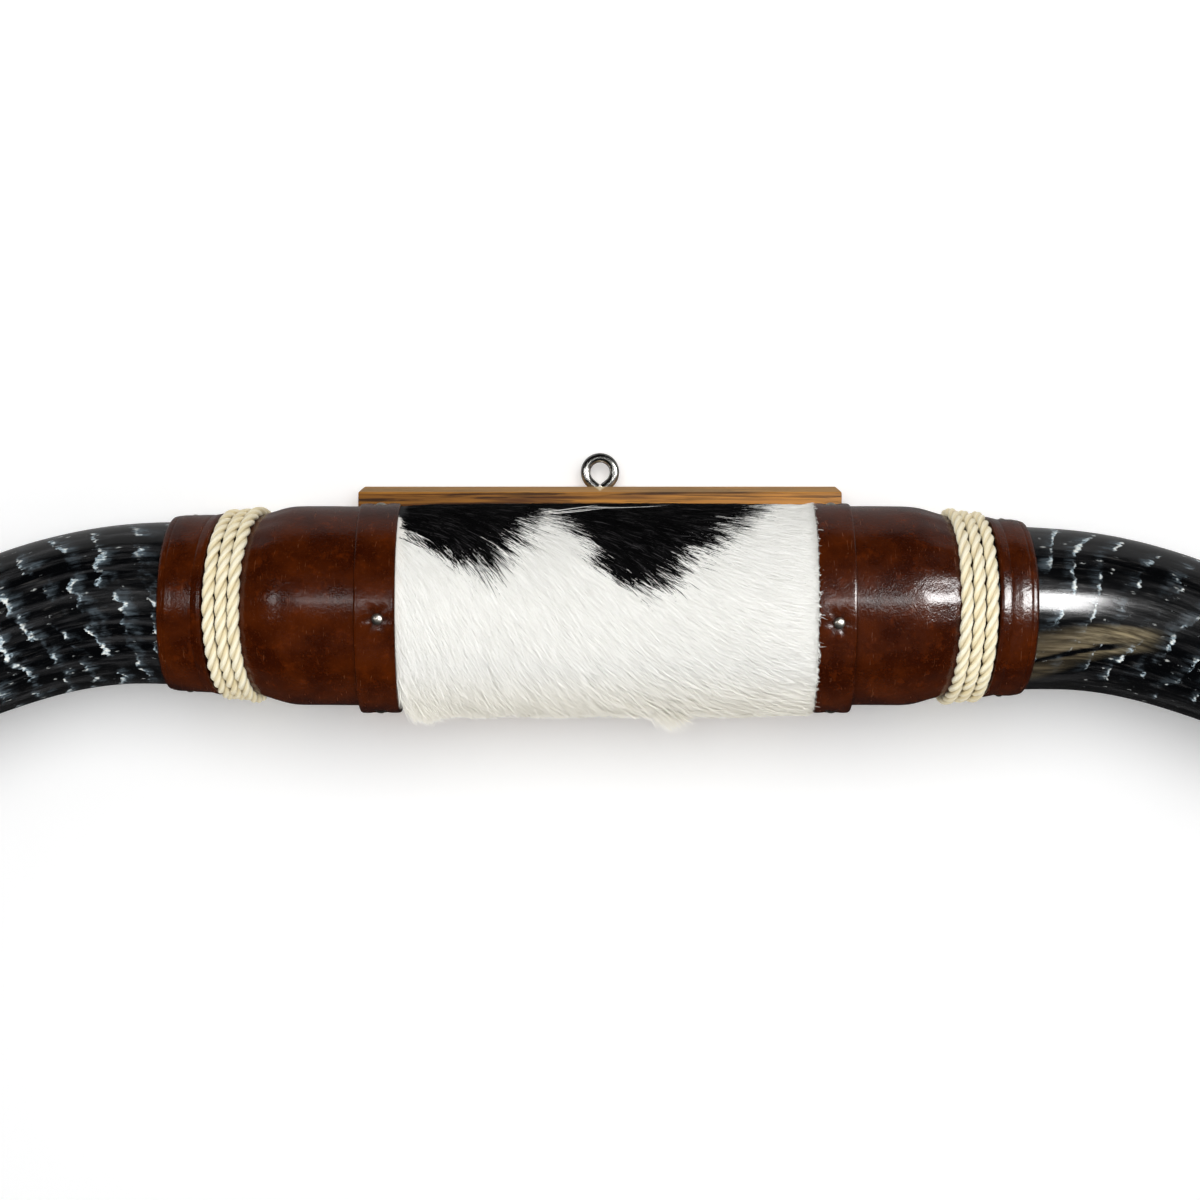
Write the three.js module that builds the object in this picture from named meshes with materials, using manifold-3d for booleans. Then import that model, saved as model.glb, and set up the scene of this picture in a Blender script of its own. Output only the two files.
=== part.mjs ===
// Mounted longhorn horns: two polished horns on a wooden roll wrapped in hide and leather, on a wall board.
// Millimetres, +Z up. The wall is the plane y = 0, the front faces -Y, left is -X, and the roll is at z = 0.

import * as THREE from 'three';
import { mergeVertices } from 'three/addons/utils/BufferGeometryUtils.js';
import Module from 'manifold-3d';

// Fits and facets
const GAP = 0.3;
const ROUND_SIDES = 20;
const HORN_SIDES = 18;
const HORN_RINGS = 20;
const WIRE_SIDES = 8;
const ROPE_SIDES = 6;
const PIN_SIDES = 6;

// Back board, standing on edge against the wall
const BOARD_WIDTH = 260;
const BOARD_TOP = 64;
const BOARD_BOTTOM = -50;
const BOARD_THICKNESS = 19;
const BOARD_CHAMFER = 3.2;

// Screw eye in the board's top edge: a loop whose two legs run straight and meet in a V above the shank
const EYE_HEIGHT = 72;
const EYE_RADIUS = 7.8;
const EYE_WIRE_RADIUS = 2.6;
const EYE_LEG_ANGLE = 40;
const EYE_FOOT_SPREAD = 1.8;
const EYE_ARC_POINTS = 16;
const EYE_STEPS = 20;
const SHANK_RADIUS = 2.6;
const SHANK_TOP = 64.2;
const SHANK_LENGTH = 24;

// Wooden roll, with a neck and a plug at each end
const AXIS_FROM_WALL = 55;
const CORE_RADIUS = 50;
const NECK_RADIUS = 41;
const PLUG_RADIUS = 30;
const PLUG_LENGTH = 46;

// Leather and rope over the roll
const SLEEVE_THICKNESS = 1.9;
const SLEEVE_RADIUS = CORE_RADIUS + GAP + SLEEVE_THICKNESS;
const BAND_THICKNESS = 2.4;
const BAND_RADIUS = SLEEVE_RADIUS + GAP + BAND_THICKNESS;
const BAND_EDGE = 0.7;
const BAND_SAG = 1.3;
const COLLAR_THICKNESS = 3;
const COLLAR_EDGE = 0.7;
const COLLAR_ROUND = { start: 4, middle: 1.6 };
const COLLAR_ROUND_FALL = { middle: 0.6, end: 2.1 };
const ROPE_RADIUS = 3.3;
const ROPE_TURNS = 3;
const ROPE_PITCH = 6.8;
const ROPE_LAY_RADIUS = 47;
const ROPE_CROSSOVER = 0.1;
const ROPE_SHORT_OF_FULL = 0.12;
const ROPE_STEPS = 56;
const ROPE_HALF_WIDTH = (ROPE_TURNS * ROPE_PITCH) / 2;

// How far the leather falls on its way to the neck, by distance before the middle of the rope
const SHOULDER = [
  { before: 60, fall: 0 },
  { before: 28, fall: 0 },
  { before: 18, fall: 1.2 },
  { before: 10.9, fall: 4.6 },
  { before: 9.7, fall: 7.6 },
  { before: 8.4, fall: CORE_RADIUS - NECK_RADIUS },
];

// Hair on the hide, deeper below than above, with locks that lie along its fall
const HIDE_THICKNESS = 1.8;
const HAIR_RADIUS = 55.8;
const HAIR_EDGE_RADIUS = 54.6;
const HAIR_SAG = 2.2;
const HAIR_WAVE = 0.5;
const HAIR_WAVE_LENGTH = 47;
const HAIR_STATIONS = 8;
const LOCK_COLUMNS = 10;
const LOCK_ROWS = 5;
const LOCK_STAGGER = 0.5;
const LOCK_SIDES = 4;
const LOCK_LENGTH = 18;
const LOCK_HALF_WIDTH = 3.6;
const LOCK_HALF_DEPTH = 1.2;
const LOCK_ROOT_DEPTH = 0.5;
const LOCK_LIFT = 0.9;
const LOCK_MARGIN = 7;
const LOCK_TOP_ANGLE = 66;
const LOCK_BOTTOM_ANGLE = -92;
const HAIR_FALL_LEFT = 66;
const HAIR_FALL_RIGHT = 8;
const HAIR_FALL_CURVE = 1.4;

// Tacks in the bands and nails in the collars
const TACK = { headRadius: 3, dome: 1.7 };
const NAIL = { headRadius: 1.9, dome: 0.9 };
const DOME_SHOULDER = { out: 0.6, up: 0.8 };
const PIN_RADIUS = 0.7;
const PIN_LENGTH = 10;
const PIN_HOLE_RADIUS = PIN_RADIUS + GAP;
const PIN_HOLE_DEPTH = 12;
const PIN_HOLE_LENGTH = 18;
const TACK_ANGLES_ABOVE_AND_BELOW = { top: 84, bottom: -84 };
const NAIL_ANGLES = { top: 88, bottom: -88 };
const NAIL_FROM_COLLAR_END = 11;

// Horns, measured along their bent middle line from the collar to the tip
const HORN_RADIUS = 42.9;
const HORN_LENGTH = 715;
const HORN_TAPER = 0.55;
const HORN_TIP_CROWDING = 1.7;

// Each half of the middle line, by distance from the middle: its climb and its backward sweep in degrees
const ROUTE_STEP = 2;
const SMOOTHING_SHIFTS = [-8, -6, -4, -2, 0, 2, 4, 6, 8];
const OUTER_RUN = [
  { at: 304, climb: -17.7, back: -9 },
  { at: 330, climb: -21, back: -12.5 },
  { at: 365, climb: -23, back: -15.5 },
  { at: 405, climb: -22, back: -17.5 },
  { at: 460, climb: -16, back: -18.5 },
  { at: 530, climb: -4, back: -18 },
  { at: 600, climb: 10, back: -15 },
  { at: 670, climb: 25, back: -10 },
  { at: 740, climb: 39, back: -3 },
  { at: 810, climb: 50, back: 4 },
  { at: 880, climb: 57, back: 9 },
  { at: 960, climb: 61, back: 12 },
];
const SIDES = [
  {
    name: 'left',
    sign: -1,
    bandFrom: 104,
    bandTo: 125,
    hideEnd: 109.5,
    ropeAt: 186.5,
    collarEnd: 226,
    frontTack: { at: 113, angle: -7.3 },
    run: [
      { at: 0, climb: 0, back: 0 },
      { at: 150, climb: 0, back: 0 },
      { at: 166, climb: 1, back: 9 },
      { at: 202, climb: 1, back: 9 },
      { at: 222, climb: 2.4, back: 3 },
      { at: 241, climb: -1.2, back: 2.5 },
      { at: 262, climb: -8.6, back: -1 },
      { at: 283, climb: -13.2, back: -5 },
      ...OUTER_RUN,
    ],
  },
  {
    name: 'right',
    sign: 1,
    bandFrom: 111,
    bandTo: 130.5,
    hideEnd: 116.5,
    ropeAt: 189.5,
    collarEnd: 221.5,
    frontTack: { at: 121, angle: -9.4 },
    run: [
      { at: 0, climb: 0, back: 0 },
      { at: 152, climb: 0, back: 0 },
      { at: 172, climb: -1.2, back: 5 },
      { at: 207, climb: -1.2, back: 5 },
      { at: 225, climb: -0.2, back: 4.5 },
      { at: 241, climb: -2.4, back: 3.5 },
      { at: 262, climb: -9.2, back: -1 },
      { at: 283, climb: -14.2, back: -5 },
      ...OUTER_RUN,
    ],
  },
];

const { clamp, degToRad, lerp, mapLinear, radToDeg, smoothstep } = THREE.MathUtils;
const wasm = await Module();
wasm.setup();

// Solids and geometries

function signedVolume(geometry) {
  const { index, attributes } = geometry;
  const corners = [new THREE.Vector3(), new THREE.Vector3(), new THREE.Vector3()];
  let volume = 0;
  for (let first = 0; first < index.count; first += 3) {
    corners.forEach((corner, i) => corner.fromBufferAttribute(attributes.position, index.getX(first + i)));
    volume += corners[0].dot(corners[1].cross(corners[2])) / 6;
  }
  return volume;
}

// The solid inside a closed geometry, whichever way its faces are wound
function solidOf(geometry) {
  geometry.deleteAttribute('normal');
  geometry.deleteAttribute('uv');
  const merged = mergeVertices(geometry);
  const triVerts = new Uint32Array(merged.index.array);
  if (signedVolume(merged) < 0) triVerts.reverse();
  const vertProperties = new Float32Array(merged.attributes.position.array);
  return new wasm.Manifold(new wasm.Mesh({ numProp: 3, vertProperties, triVerts }));
}

function geometryOf(solid) {
  const mesh = solid.getMesh();
  const geometry = new THREE.BufferGeometry();
  geometry.setAttribute('position', new THREE.BufferAttribute(mesh.vertProperties, 3));
  geometry.setIndex(new THREE.BufferAttribute(mesh.triVerts, 1));
  geometry.computeVertexNormals();
  return geometry;
}

function withHoles(solid, cutters) {
  return cutters.reduce((rest, cutter) => rest.subtract(cutter), solid);
}

function circleShape(radius, sides) {
  const points = [];
  for (let i = 0; i < sides; i += 1) {
    const turn = (2 * Math.PI * i) / sides;
    points.push(new THREE.Vector2(radius * Math.cos(turn), radius * Math.sin(turn)));
  }
  return new THREE.Shape(points);
}

// Middle line of the roll and the horns

function stationValue(run, distance, key) {
  const next = run.findIndex((station) => station.at >= distance);
  if (next === 0) return run[0][key];
  if (next < 0) return run.at(-1)[key];
  const low = run[next - 1];
  const high = run[next];
  return mapLinear(distance, low.at, high.at, low[key], high[key]);
}

function smoothedAngle(run, distance, key) {
  const places = SMOOTHING_SHIFTS.map((shift) => Math.max(distance + shift, 0));
  const values = places.map((place) => stationValue(run, place, key));
  return degToRad(values.reduce((sum, value) => sum + value, 0) / values.length);
}

function heading(side, distance) {
  const climb = smoothedAngle(side.run, distance, 'climb');
  const back = smoothedAngle(side.run, distance, 'back');
  const level = Math.cos(climb);
  return new THREE.Vector3(side.sign * level * Math.cos(back), level * Math.sin(back), Math.sin(climb));
}

function middleLine(side) {
  const points = [new THREE.Vector3(0, -AXIS_FROM_WALL, 0)];
  for (let distance = 0; distance < side.run.at(-1).at; distance += ROUTE_STEP) {
    const step = heading(side, distance + ROUTE_STEP / 2).multiplyScalar(ROUTE_STEP);
    points.push(step.add(points.at(-1)));
  }
  return points;
}

const LINES = SIDES.map(middleLine);

// The middle line's point and directions at a place along it, where places left of the middle are negative
function frameAt(place) {
  const half = place < 0 ? 0 : 1;
  const line = LINES[half];
  const steps = Math.abs(place) / ROUTE_STEP;
  const index = Math.min(Math.floor(steps), line.length - 2);
  const point = new THREE.Vector3().lerpVectors(line[index], line[index + 1], steps - index);
  const along = heading(SIDES[half], Math.abs(place)).multiplyScalar(SIDES[half].sign);
  const up = new THREE.Vector3(0, 0, 1).addScaledVector(along, -along.z).normalize();
  const behind = new THREE.Vector3().crossVectors(up, along);
  return { point, along, behind, up };
}

// Angles go round the roll from its front: 90 degrees is up and -90 is down
function outwardAt(place, angle) {
  const { behind, up } = frameAt(place);
  const turn = degToRad(angle);
  return behind.multiplyScalar(-Math.cos(turn)).addScaledVector(up, Math.sin(turn));
}

function pointAt(place, radius, angle) {
  return frameAt(place).point.addScaledVector(outwardAt(place, angle), radius);
}

// A geometry whose own x runs along the roll, bent to the middle line
function bent(geometry) {
  const corners = geometry.attributes.position;
  const corner = new THREE.Vector3();
  for (let i = 0; i < corners.count; i += 1) {
    corner.fromBufferAttribute(corners, i);
    const { point, behind, up } = frameAt(corner.x);
    point.addScaledVector(behind, corner.y).addScaledVector(up, corner.z);
    corners.setXYZ(i, point.x, point.y, point.z);
  }
  return geometry;
}

// A profile of [place along the roll, radius] points, turned about the roll
function turned(profile, sides = ROUND_SIDES) {
  const points = profile.map(([place, radius]) => new THREE.Vector2(radius, place));
  return new THREE.LatheGeometry(points, sides).rotateZ(-Math.PI / 2);
}

function ring(points, sign, sides) {
  const profile = [...points, points[0]].map(([place, radius]) => [place * sign, radius]);
  return solidOf(bent(turned(profile, sides)));
}

// Moves the corners of a turned geometry that lie outside a radius to a new radius for their place and angle
function regrown(geometry, insideRadius, newRadius) {
  const corners = geometry.attributes.position;
  for (let i = 0; i < corners.count; i += 1) {
    const depth = Math.hypot(corners.getY(i), corners.getZ(i));
    if (depth < insideRadius) continue;
    const angle = radToDeg(Math.atan2(corners.getZ(i), -corners.getY(i)));
    const growth = newRadius(corners.getX(i), angle, depth) / depth;
    corners.setY(i, corners.getY(i) * growth);
    corners.setZ(i, corners.getZ(i) * growth);
  }
  return geometry;
}

// Back board and screw eye

function boardGeometry() {
  const right = BOARD_WIDTH / 2;
  const front = -BOARD_THICKNESS;
  const outline = new THREE.Shape();
  outline.moveTo(-right, front);
  outline.lineTo(right, front);
  outline.lineTo(right, 0);
  outline.lineTo(-right, 0);
  outline.closePath();
  const geometry = new THREE.ExtrudeGeometry(outline, {
    depth: BOARD_TOP - BOARD_BOTTOM - 2 * BOARD_CHAMFER,
    bevelThickness: BOARD_CHAMFER,
    bevelSize: BOARD_CHAMFER,
    bevelOffset: -BOARD_CHAMFER,
    bevelSegments: 1,
  });
  return geometry.translate(0, 0, BOARD_BOTTOM + BOARD_CHAMFER);
}

// The loop's wire, from one foot up and over to the other, about the loop's own middle
function eyeLoop() {
  const start = degToRad(EYE_LEG_ANGLE);
  const points = [];
  for (let i = 0; i <= EYE_ARC_POINTS; i += 1) {
    const turn = lerp(start, 2 * Math.PI - start, i / EYE_ARC_POINTS);
    points.push(new THREE.Vector3(EYE_RADIUS * Math.sin(turn), 0, -EYE_RADIUS * Math.cos(turn)));
  }
  const legFall = (points[0].x - EYE_FOOT_SPREAD) * Math.tan(start);
  const footHeight = points[0].z - legFall;
  points.unshift(new THREE.Vector3(EYE_FOOT_SPREAD, 0, footHeight));
  points.push(new THREE.Vector3(-EYE_FOOT_SPREAD, 0, footHeight));
  return new THREE.CatmullRomCurve3(points);
}

function screwEye(growth) {
  const loop = new THREE.ExtrudeGeometry(circleShape(EYE_WIRE_RADIUS + growth, WIRE_SIDES), {
    steps: EYE_STEPS,
    extrudePath: eyeLoop(),
  });
  loop.translate(0, -BOARD_THICKNESS / 2, EYE_HEIGHT);
  const top = SHANK_RADIUS + growth;
  const point = SHANK_RADIUS / 2 + growth;
  const shank = new THREE.CylinderGeometry(top, point, SHANK_LENGTH, WIRE_SIDES);
  shank.rotateX(Math.PI / 2).translate(0, -BOARD_THICKNESS / 2, SHANK_TOP - SHANK_LENGTH / 2);
  return solidOf(loop).add(solidOf(shank));
}

// Everything behind the board's front face, which cuts the back of what lies on the board flat
function behindBoardFront() {
  const size = 4 * CORE_RADIUS;
  const box = new THREE.BoxGeometry(BOARD_WIDTH + 2 * GAP, size, size);
  return solidOf(box.translate(0, size / 2 - BOARD_THICKNESS - GAP, 0));
}

// Tacks and nails

function pin({ headRadius, dome }, spot) {
  const profile = [
    [0, dome],
    [headRadius * DOME_SHOULDER.out, dome * DOME_SHOULDER.up],
    [headRadius, 0],
    [PIN_RADIUS, 0],
    [PIN_RADIUS, PIN_RADIUS - PIN_LENGTH],
    [0, -PIN_LENGTH],
  ];
  const points = profile.map(([radius, height]) => new THREE.Vector2(radius, height));
  return solidOf(standing(new THREE.LatheGeometry(points, PIN_SIDES), spot));
}

// A geometry whose own y points outwards, set on the roll's surface
function standing(geometry, { place, radius, angle }) {
  const { along } = frameAt(place);
  const outward = outwardAt(place, angle);
  const across = new THREE.Vector3().crossVectors(along, outward);
  const matrix = new THREE.Matrix4().makeBasis(along, outward, across);
  return geometry.applyMatrix4(matrix.setPosition(pointAt(place, radius, angle)));
}

function pinHole(spot) {
  const drill = new THREE.CylinderGeometry(PIN_HOLE_RADIUS, PIN_HOLE_RADIUS, PIN_HOLE_LENGTH, PIN_SIDES);
  return solidOf(standing(drill.translate(0, PIN_HOLE_LENGTH / 2 - PIN_HOLE_DEPTH, 0), spot));
}

function tackSpots(side) {
  const { sign, bandFrom, bandTo, frontTack } = side;
  const middle = (sign * (bandFrom + bandTo)) / 2;
  const spots = { front: { place: sign * frontTack.at, angle: frontTack.angle } };
  for (const [where, angle] of Object.entries(TACK_ANGLES_ABOVE_AND_BELOW)) {
    spots[where] = { place: middle, angle };
  }
  for (const spot of Object.values(spots)) spot.radius = BAND_RADIUS - bandRise(spot.angle);
  return spots;
}

function nailSpots(side) {
  const at = side.collarEnd - NAIL_FROM_COLLAR_END;
  const radius = hornRadius(side, at) + GAP + COLLAR_THICKNESS;
  const spots = {};
  for (const [where, angle] of Object.entries(NAIL_ANGLES)) {
    spots[where] = { place: side.sign * at, radius, angle };
  }
  return spots;
}

// Wooden roll

function shoulderPoints(side, topRadius) {
  return SHOULDER.map(({ before, fall }) => [side.ropeAt - before, topRadius - fall]);
}

function neckEnd(side) {
  return side.ropeAt + ROPE_HALF_WIDTH + GAP;
}

function coreEnd(side) {
  const neck = neckEnd(side);
  const points = [
    ...shoulderPoints(side, CORE_RADIUS),
    [neck, NECK_RADIUS],
    [neck, PLUG_RADIUS],
    [neck + PLUG_LENGTH, PLUG_RADIUS],
    [neck + PLUG_LENGTH, 0],
  ];
  return points.map(([place, radius]) => [place * side.sign, radius]);
}

function woodCore() {
  const [left, right] = SIDES;
  return solidOf(bent(turned([...coreEnd(left).reverse(), ...coreEnd(right)])));
}

// Leather sleeves, bands and collars

function sleeve(side) {
  const start = side.hideEnd + 2 * GAP;
  const outer = [[start, SLEEVE_RADIUS], ...shoulderPoints(side, SLEEVE_RADIUS)];
  const inner = [[start, CORE_RADIUS + GAP], ...shoulderPoints(side, CORE_RADIUS + GAP)];
  outer.push([neckEnd(side), NECK_RADIUS + GAP + SLEEVE_THICKNESS]);
  inner.push([neckEnd(side), NECK_RADIUS + GAP]);
  return ring([...outer, ...inner.reverse()], side.sign);
}

// The band's outside hangs a little low, over the bulk of the hide
function bandRise(angle) {
  return BAND_SAG * Math.sin(degToRad(angle));
}

function band(side) {
  const inside = SLEEVE_RADIUS + GAP;
  const { bandFrom, bandTo, sign } = side;
  const points = [
    [bandFrom, inside],
    [bandFrom, BAND_RADIUS - BAND_EDGE],
    [bandFrom + BAND_EDGE, BAND_RADIUS],
    [bandTo - BAND_EDGE, BAND_RADIUS],
    [bandTo, BAND_RADIUS - BAND_EDGE],
    [bandTo, inside],
    [bandFrom, inside],
  ];
  const geometry = turned(points.map(([place, radius]) => [place * sign, radius]));
  return solidOf(bent(regrown(geometry, inside + GAP, (place, angle, depth) => depth - bandRise(angle))));
}

function hornRadius(side, distance) {
  const toTip = 1 - (distance - side.collarEnd) / HORN_LENGTH;
  return HORN_RADIUS * Math.max(toTip, 0) ** HORN_TAPER;
}

function collar(side) {
  const from = neckEnd(side) + 2 * GAP;
  const to = side.collarEnd;
  const innerFrom = hornRadius(side, from) + GAP;
  const innerTo = hornRadius(side, to) + GAP;
  const points = [
    [from, innerFrom],
    [from, innerFrom + COLLAR_THICKNESS - COLLAR_EDGE],
    [from + COLLAR_EDGE, innerFrom + COLLAR_THICKNESS],
    [to - COLLAR_ROUND.start, innerTo + COLLAR_THICKNESS],
    [to - COLLAR_ROUND.middle, innerTo + COLLAR_THICKNESS - COLLAR_ROUND_FALL.middle],
    [to, innerTo + COLLAR_THICKNESS - COLLAR_ROUND_FALL.end],
    [to, innerTo],
  ];
  return ring(points, side.sign, HORN_SIDES);
}

// Rope, wound in level turns that cross to the next at the back

class RopeRun extends THREE.Curve {
  constructor(side) {
    super();
    this.side = side;
  }

  getPoint(t) {
    const turns = t * (ROPE_TURNS - ROPE_SHORT_OF_FULL);
    const whole = Math.floor(turns);
    const crossing = smoothstep(turns - whole, 1 - ROPE_CROSSOVER, 1);
    const shift = (whole + crossing - (ROPE_TURNS - 1) / 2) * ROPE_PITCH;
    const middle = this.side.sign * this.side.ropeAt;
    const { along } = frameAt(middle);
    const point = pointAt(middle, ROPE_LAY_RADIUS, 180 - 360 * turns);
    return point.addScaledVector(along, this.side.sign * shift);
  }
}

function rope(side) {
  const run = new RopeRun(side);
  const section = circleShape(ROPE_RADIUS, ROPE_SIDES);
  return solidOf(new THREE.ExtrudeGeometry(section, { steps: ROPE_STEPS, extrudePath: run }));
}

// Horns, hollow over the plugs

function horn(side) {
  const base = neckEnd(side) + GAP;
  const bore = (PLUG_RADIUS + GAP) / Math.cos(Math.PI / HORN_SIDES); // its flats clear the plug
  const boreEnd = base + PLUG_LENGTH + GAP;
  const points = [[boreEnd, 0], [boreEnd, bore], [base, bore], [base, hornRadius(side, base)]];
  for (let i = 0; i <= HORN_RINGS; i += 1) {
    const distance = side.collarEnd + HORN_LENGTH * (1 - (1 - i / HORN_RINGS) ** HORN_TIP_CROWDING);
    points.push([distance, hornRadius(side, distance)]);
  }
  const profile = points.map(([place, radius]) => [place * side.sign, radius]);
  return solidOf(bent(turned(profile, HORN_SIDES)));
}

// Hide

function hairRadius(place, angle) {
  const [left, right] = SIDES;
  const share = mapLinear(place, -left.bandFrom, right.bandFrom, 0, 1);
  const crown = Math.sqrt(Math.sin(Math.PI * clamp(share, 0, 1)));
  const wave = HAIR_WAVE * Math.sin((2 * Math.PI * place) / HAIR_WAVE_LENGTH);
  return lerp(HAIR_EDGE_RADIUS, HAIR_RADIUS + wave, crown) - HAIR_SAG * Math.sin(degToRad(angle));
}

// The skin, thin under the bands, with the hair's bulk on it between them
function hideBody() {
  const [left, right] = SIDES;
  const inside = CORE_RADIUS + GAP;
  const skin = inside + HIDE_THICKNESS;
  const from = -left.bandFrom + GAP;
  const to = right.bandFrom - GAP;
  const points = [[-left.hideEnd, inside], [-left.hideEnd, skin], [from, skin]];
  for (let i = 0; i <= HAIR_STATIONS; i += 1) {
    points.push([lerp(from, to, i / HAIR_STATIONS), HAIR_RADIUS]);
  }
  points.push([to, skin], [right.hideEnd, skin], [right.hideEnd, inside]);
  const geometry = turned([...points, points[0]]);
  return solidOf(bent(regrown(geometry, HAIR_RADIUS - GAP, hairRadius)));
}

function hairFall(place) {
  const [left, right] = SIDES;
  const share = mapLinear(place, -left.bandFrom, right.bandFrom, 0, 1);
  return degToRad(lerp(HAIR_FALL_LEFT, HAIR_FALL_RIGHT, share ** HAIR_FALL_CURVE));
}

// One lock: a flattened cone from its root in the hair to its raised tip
function lock(place, angle) {
  const fall = hairFall(place);
  const tipPlace = place + LOCK_LENGTH * Math.cos(fall);
  const tipAngle = angle - radToDeg((LOCK_LENGTH * Math.sin(fall)) / HAIR_RADIUS);
  const root = pointAt(place, hairRadius(place, angle) - LOCK_ROOT_DEPTH, angle);
  const tip = pointAt(tipPlace, hairRadius(tipPlace, tipAngle) + LOCK_LIFT, tipAngle);
  const along = tip.sub(root);
  const across = new THREE.Vector3().crossVectors(along, outwardAt(place, angle)).normalize();
  const out = new THREE.Vector3().crossVectors(across, along).normalize();
  const cone = new THREE.ConeGeometry(1, 1, LOCK_SIDES).translate(0, 1 / 2, 0);
  const matrix = new THREE.Matrix4().makeBasis(
    across.multiplyScalar(LOCK_HALF_WIDTH),
    along,
    out.multiplyScalar(LOCK_HALF_DEPTH),
  );
  return solidOf(cone.applyMatrix4(matrix.setPosition(root)));
}

function hideWithLocks() {
  const [left, right] = SIDES;
  const from = -left.bandFrom + LOCK_MARGIN;
  const to = right.bandFrom - LOCK_LENGTH - GAP;
  let hide = hideBody();
  for (let row = 0; row < LOCK_ROWS; row += 1) {
    const angle = lerp(LOCK_TOP_ANGLE, LOCK_BOTTOM_ANGLE, row / (LOCK_ROWS - 1));
    for (let column = 0; column < LOCK_COLUMNS; column += 1) {
      const share = (column + (row % 2) * LOCK_STAGGER) / (LOCK_COLUMNS - 1 + LOCK_STAGGER);
      hide = hide.add(lock(lerp(from, to, share), angle));
    }
  }
  return hide;
}

// Assembly

const FINISHES = {
  wood: { color: '#b4702e', roughness: 0.6, metalness: 0 },
  steel: { color: '#8d9196', roughness: 0.3, metalness: 1 },
  hide: { color: '#e8e4dc', roughness: 0.8, metalness: 0 },
  leather: { color: '#4d2415', roughness: 0.35, metalness: 0 },
  rope: { color: '#e4d7ad', roughness: 0.9, metalness: 0 },
  horn: { color: '#15171b', roughness: 0.2, metalness: 0 },
};

const mount = new THREE.Group();

function addPiece(name, solid, finish) {
  const mesh = new THREE.Mesh(geometryOf(solid), new THREE.MeshStandardMaterial(FINISHES[finish]));
  mesh.name = name;
  mount.add(mesh);
}

const boardSpace = behindBoardFront();
const coreHoles = [];
addPiece('back_board', solidOf(boardGeometry()).subtract(screwEye(GAP)), 'wood');
addPiece('screw_eye', screwEye(0), 'steel');
addPiece('cowhide', hideWithLocks().subtract(boardSpace), 'hide');

for (const side of SIDES) {
  const tacks = tackSpots(side);
  const nails = nailSpots(side);
  const tackHoles = Object.values(tacks).map(pinHole);
  const nailHoles = Object.values(nails).map(pinHole);
  coreHoles.push(...tackHoles);
  addPiece(`${side.name}_band`, withHoles(band(side), [boardSpace, ...tackHoles]), 'leather');
  addPiece(`${side.name}_sleeve`, withHoles(sleeve(side), [boardSpace, ...tackHoles]), 'leather');
  addPiece(`${side.name}_rope`, rope(side), 'rope');
  addPiece(`${side.name}_collar`, withHoles(collar(side), nailHoles), 'leather');
  addPiece(`${side.name}_horn`, withHoles(horn(side), nailHoles), 'horn');
  for (const [where, spot] of Object.entries(tacks)) {
    addPiece(`${side.name}_band_tack_${where}`, pin(TACK, spot), 'steel');
  }
  for (const [where, spot] of Object.entries(nails)) {
    addPiece(`${side.name}_collar_nail_${where}`, pin(NAIL, spot), 'steel');
  }
}

addPiece('wood_core', withHoles(woodCore(), [boardSpace, ...coreHoles]), 'wood');

export default mount;
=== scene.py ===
import math

import bmesh
import bpy
import numpy as np
from mathutils import Matrix


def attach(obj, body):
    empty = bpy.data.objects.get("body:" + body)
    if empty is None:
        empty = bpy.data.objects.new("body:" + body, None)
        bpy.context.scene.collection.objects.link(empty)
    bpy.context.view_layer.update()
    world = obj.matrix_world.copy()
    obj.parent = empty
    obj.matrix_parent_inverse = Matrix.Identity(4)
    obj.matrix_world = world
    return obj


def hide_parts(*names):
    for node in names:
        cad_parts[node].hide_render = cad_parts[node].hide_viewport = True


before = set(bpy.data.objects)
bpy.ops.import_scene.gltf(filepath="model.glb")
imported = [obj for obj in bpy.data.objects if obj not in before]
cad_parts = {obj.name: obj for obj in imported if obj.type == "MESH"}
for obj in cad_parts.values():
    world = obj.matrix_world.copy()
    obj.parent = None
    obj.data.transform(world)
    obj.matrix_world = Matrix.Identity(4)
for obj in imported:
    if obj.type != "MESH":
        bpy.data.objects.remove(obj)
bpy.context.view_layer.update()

# A millimetre in the scene's metres
MM = 0.001

# The object's own measures, as the part's source gives them, with lengths in millimetres
GAP = 0.3
BOARD_WIDTH = 260
BOARD_TOP = 64
BOARD_BOTTOM = -50
BOARD_THICKNESS = 19
BOARD_CHAMFER = 3.2
EYE_HEIGHT = 72
EYE_RADIUS = 7.8
EYE_WIRE_RADIUS = 2.6
EYE_LEG_ANGLE = math.radians(40)
EYE_FOOT_SPREAD = 1.8
SHANK_RADIUS = 2.6
SHANK_TOP = 64.2
SHANK_LENGTH = 24
AXIS_FROM_WALL = 55
CORE_RADIUS = 50
NECK_RADIUS = 41
PLUG_RADIUS = 30
PLUG_LENGTH = 46
SLEEVE_THICKNESS = 1.9
SLEEVE_RADIUS = CORE_RADIUS + GAP + SLEEVE_THICKNESS
BAND_THICKNESS = 2.4
BAND_RADIUS = SLEEVE_RADIUS + GAP + BAND_THICKNESS
BAND_SAG = 1.3
COLLAR_THICKNESS = 3
ROPE_TURNS = 3
ROPE_PITCH = 6.8
ROPE_LAY_RADIUS = 47
ROPE_CROSSOVER = 0.1
ROPE_SHORT_OF_FULL = 0.12
ROPE_HALF_WIDTH = ROPE_TURNS * ROPE_PITCH / 2
HIDE_THICKNESS = 1.8
SKIN_RADIUS = CORE_RADIUS + GAP + HIDE_THICKNESS
HAIR_RADIUS = 55.8
HAIR_EDGE_RADIUS = 54.6
HAIR_SAG = 2.2
HAIR_FALL_LEFT = 66
HAIR_FALL_RIGHT = 8
HAIR_FALL_CURVE = 1.4
TACK = {"radius": 3, "dome": 1.7}
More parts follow.
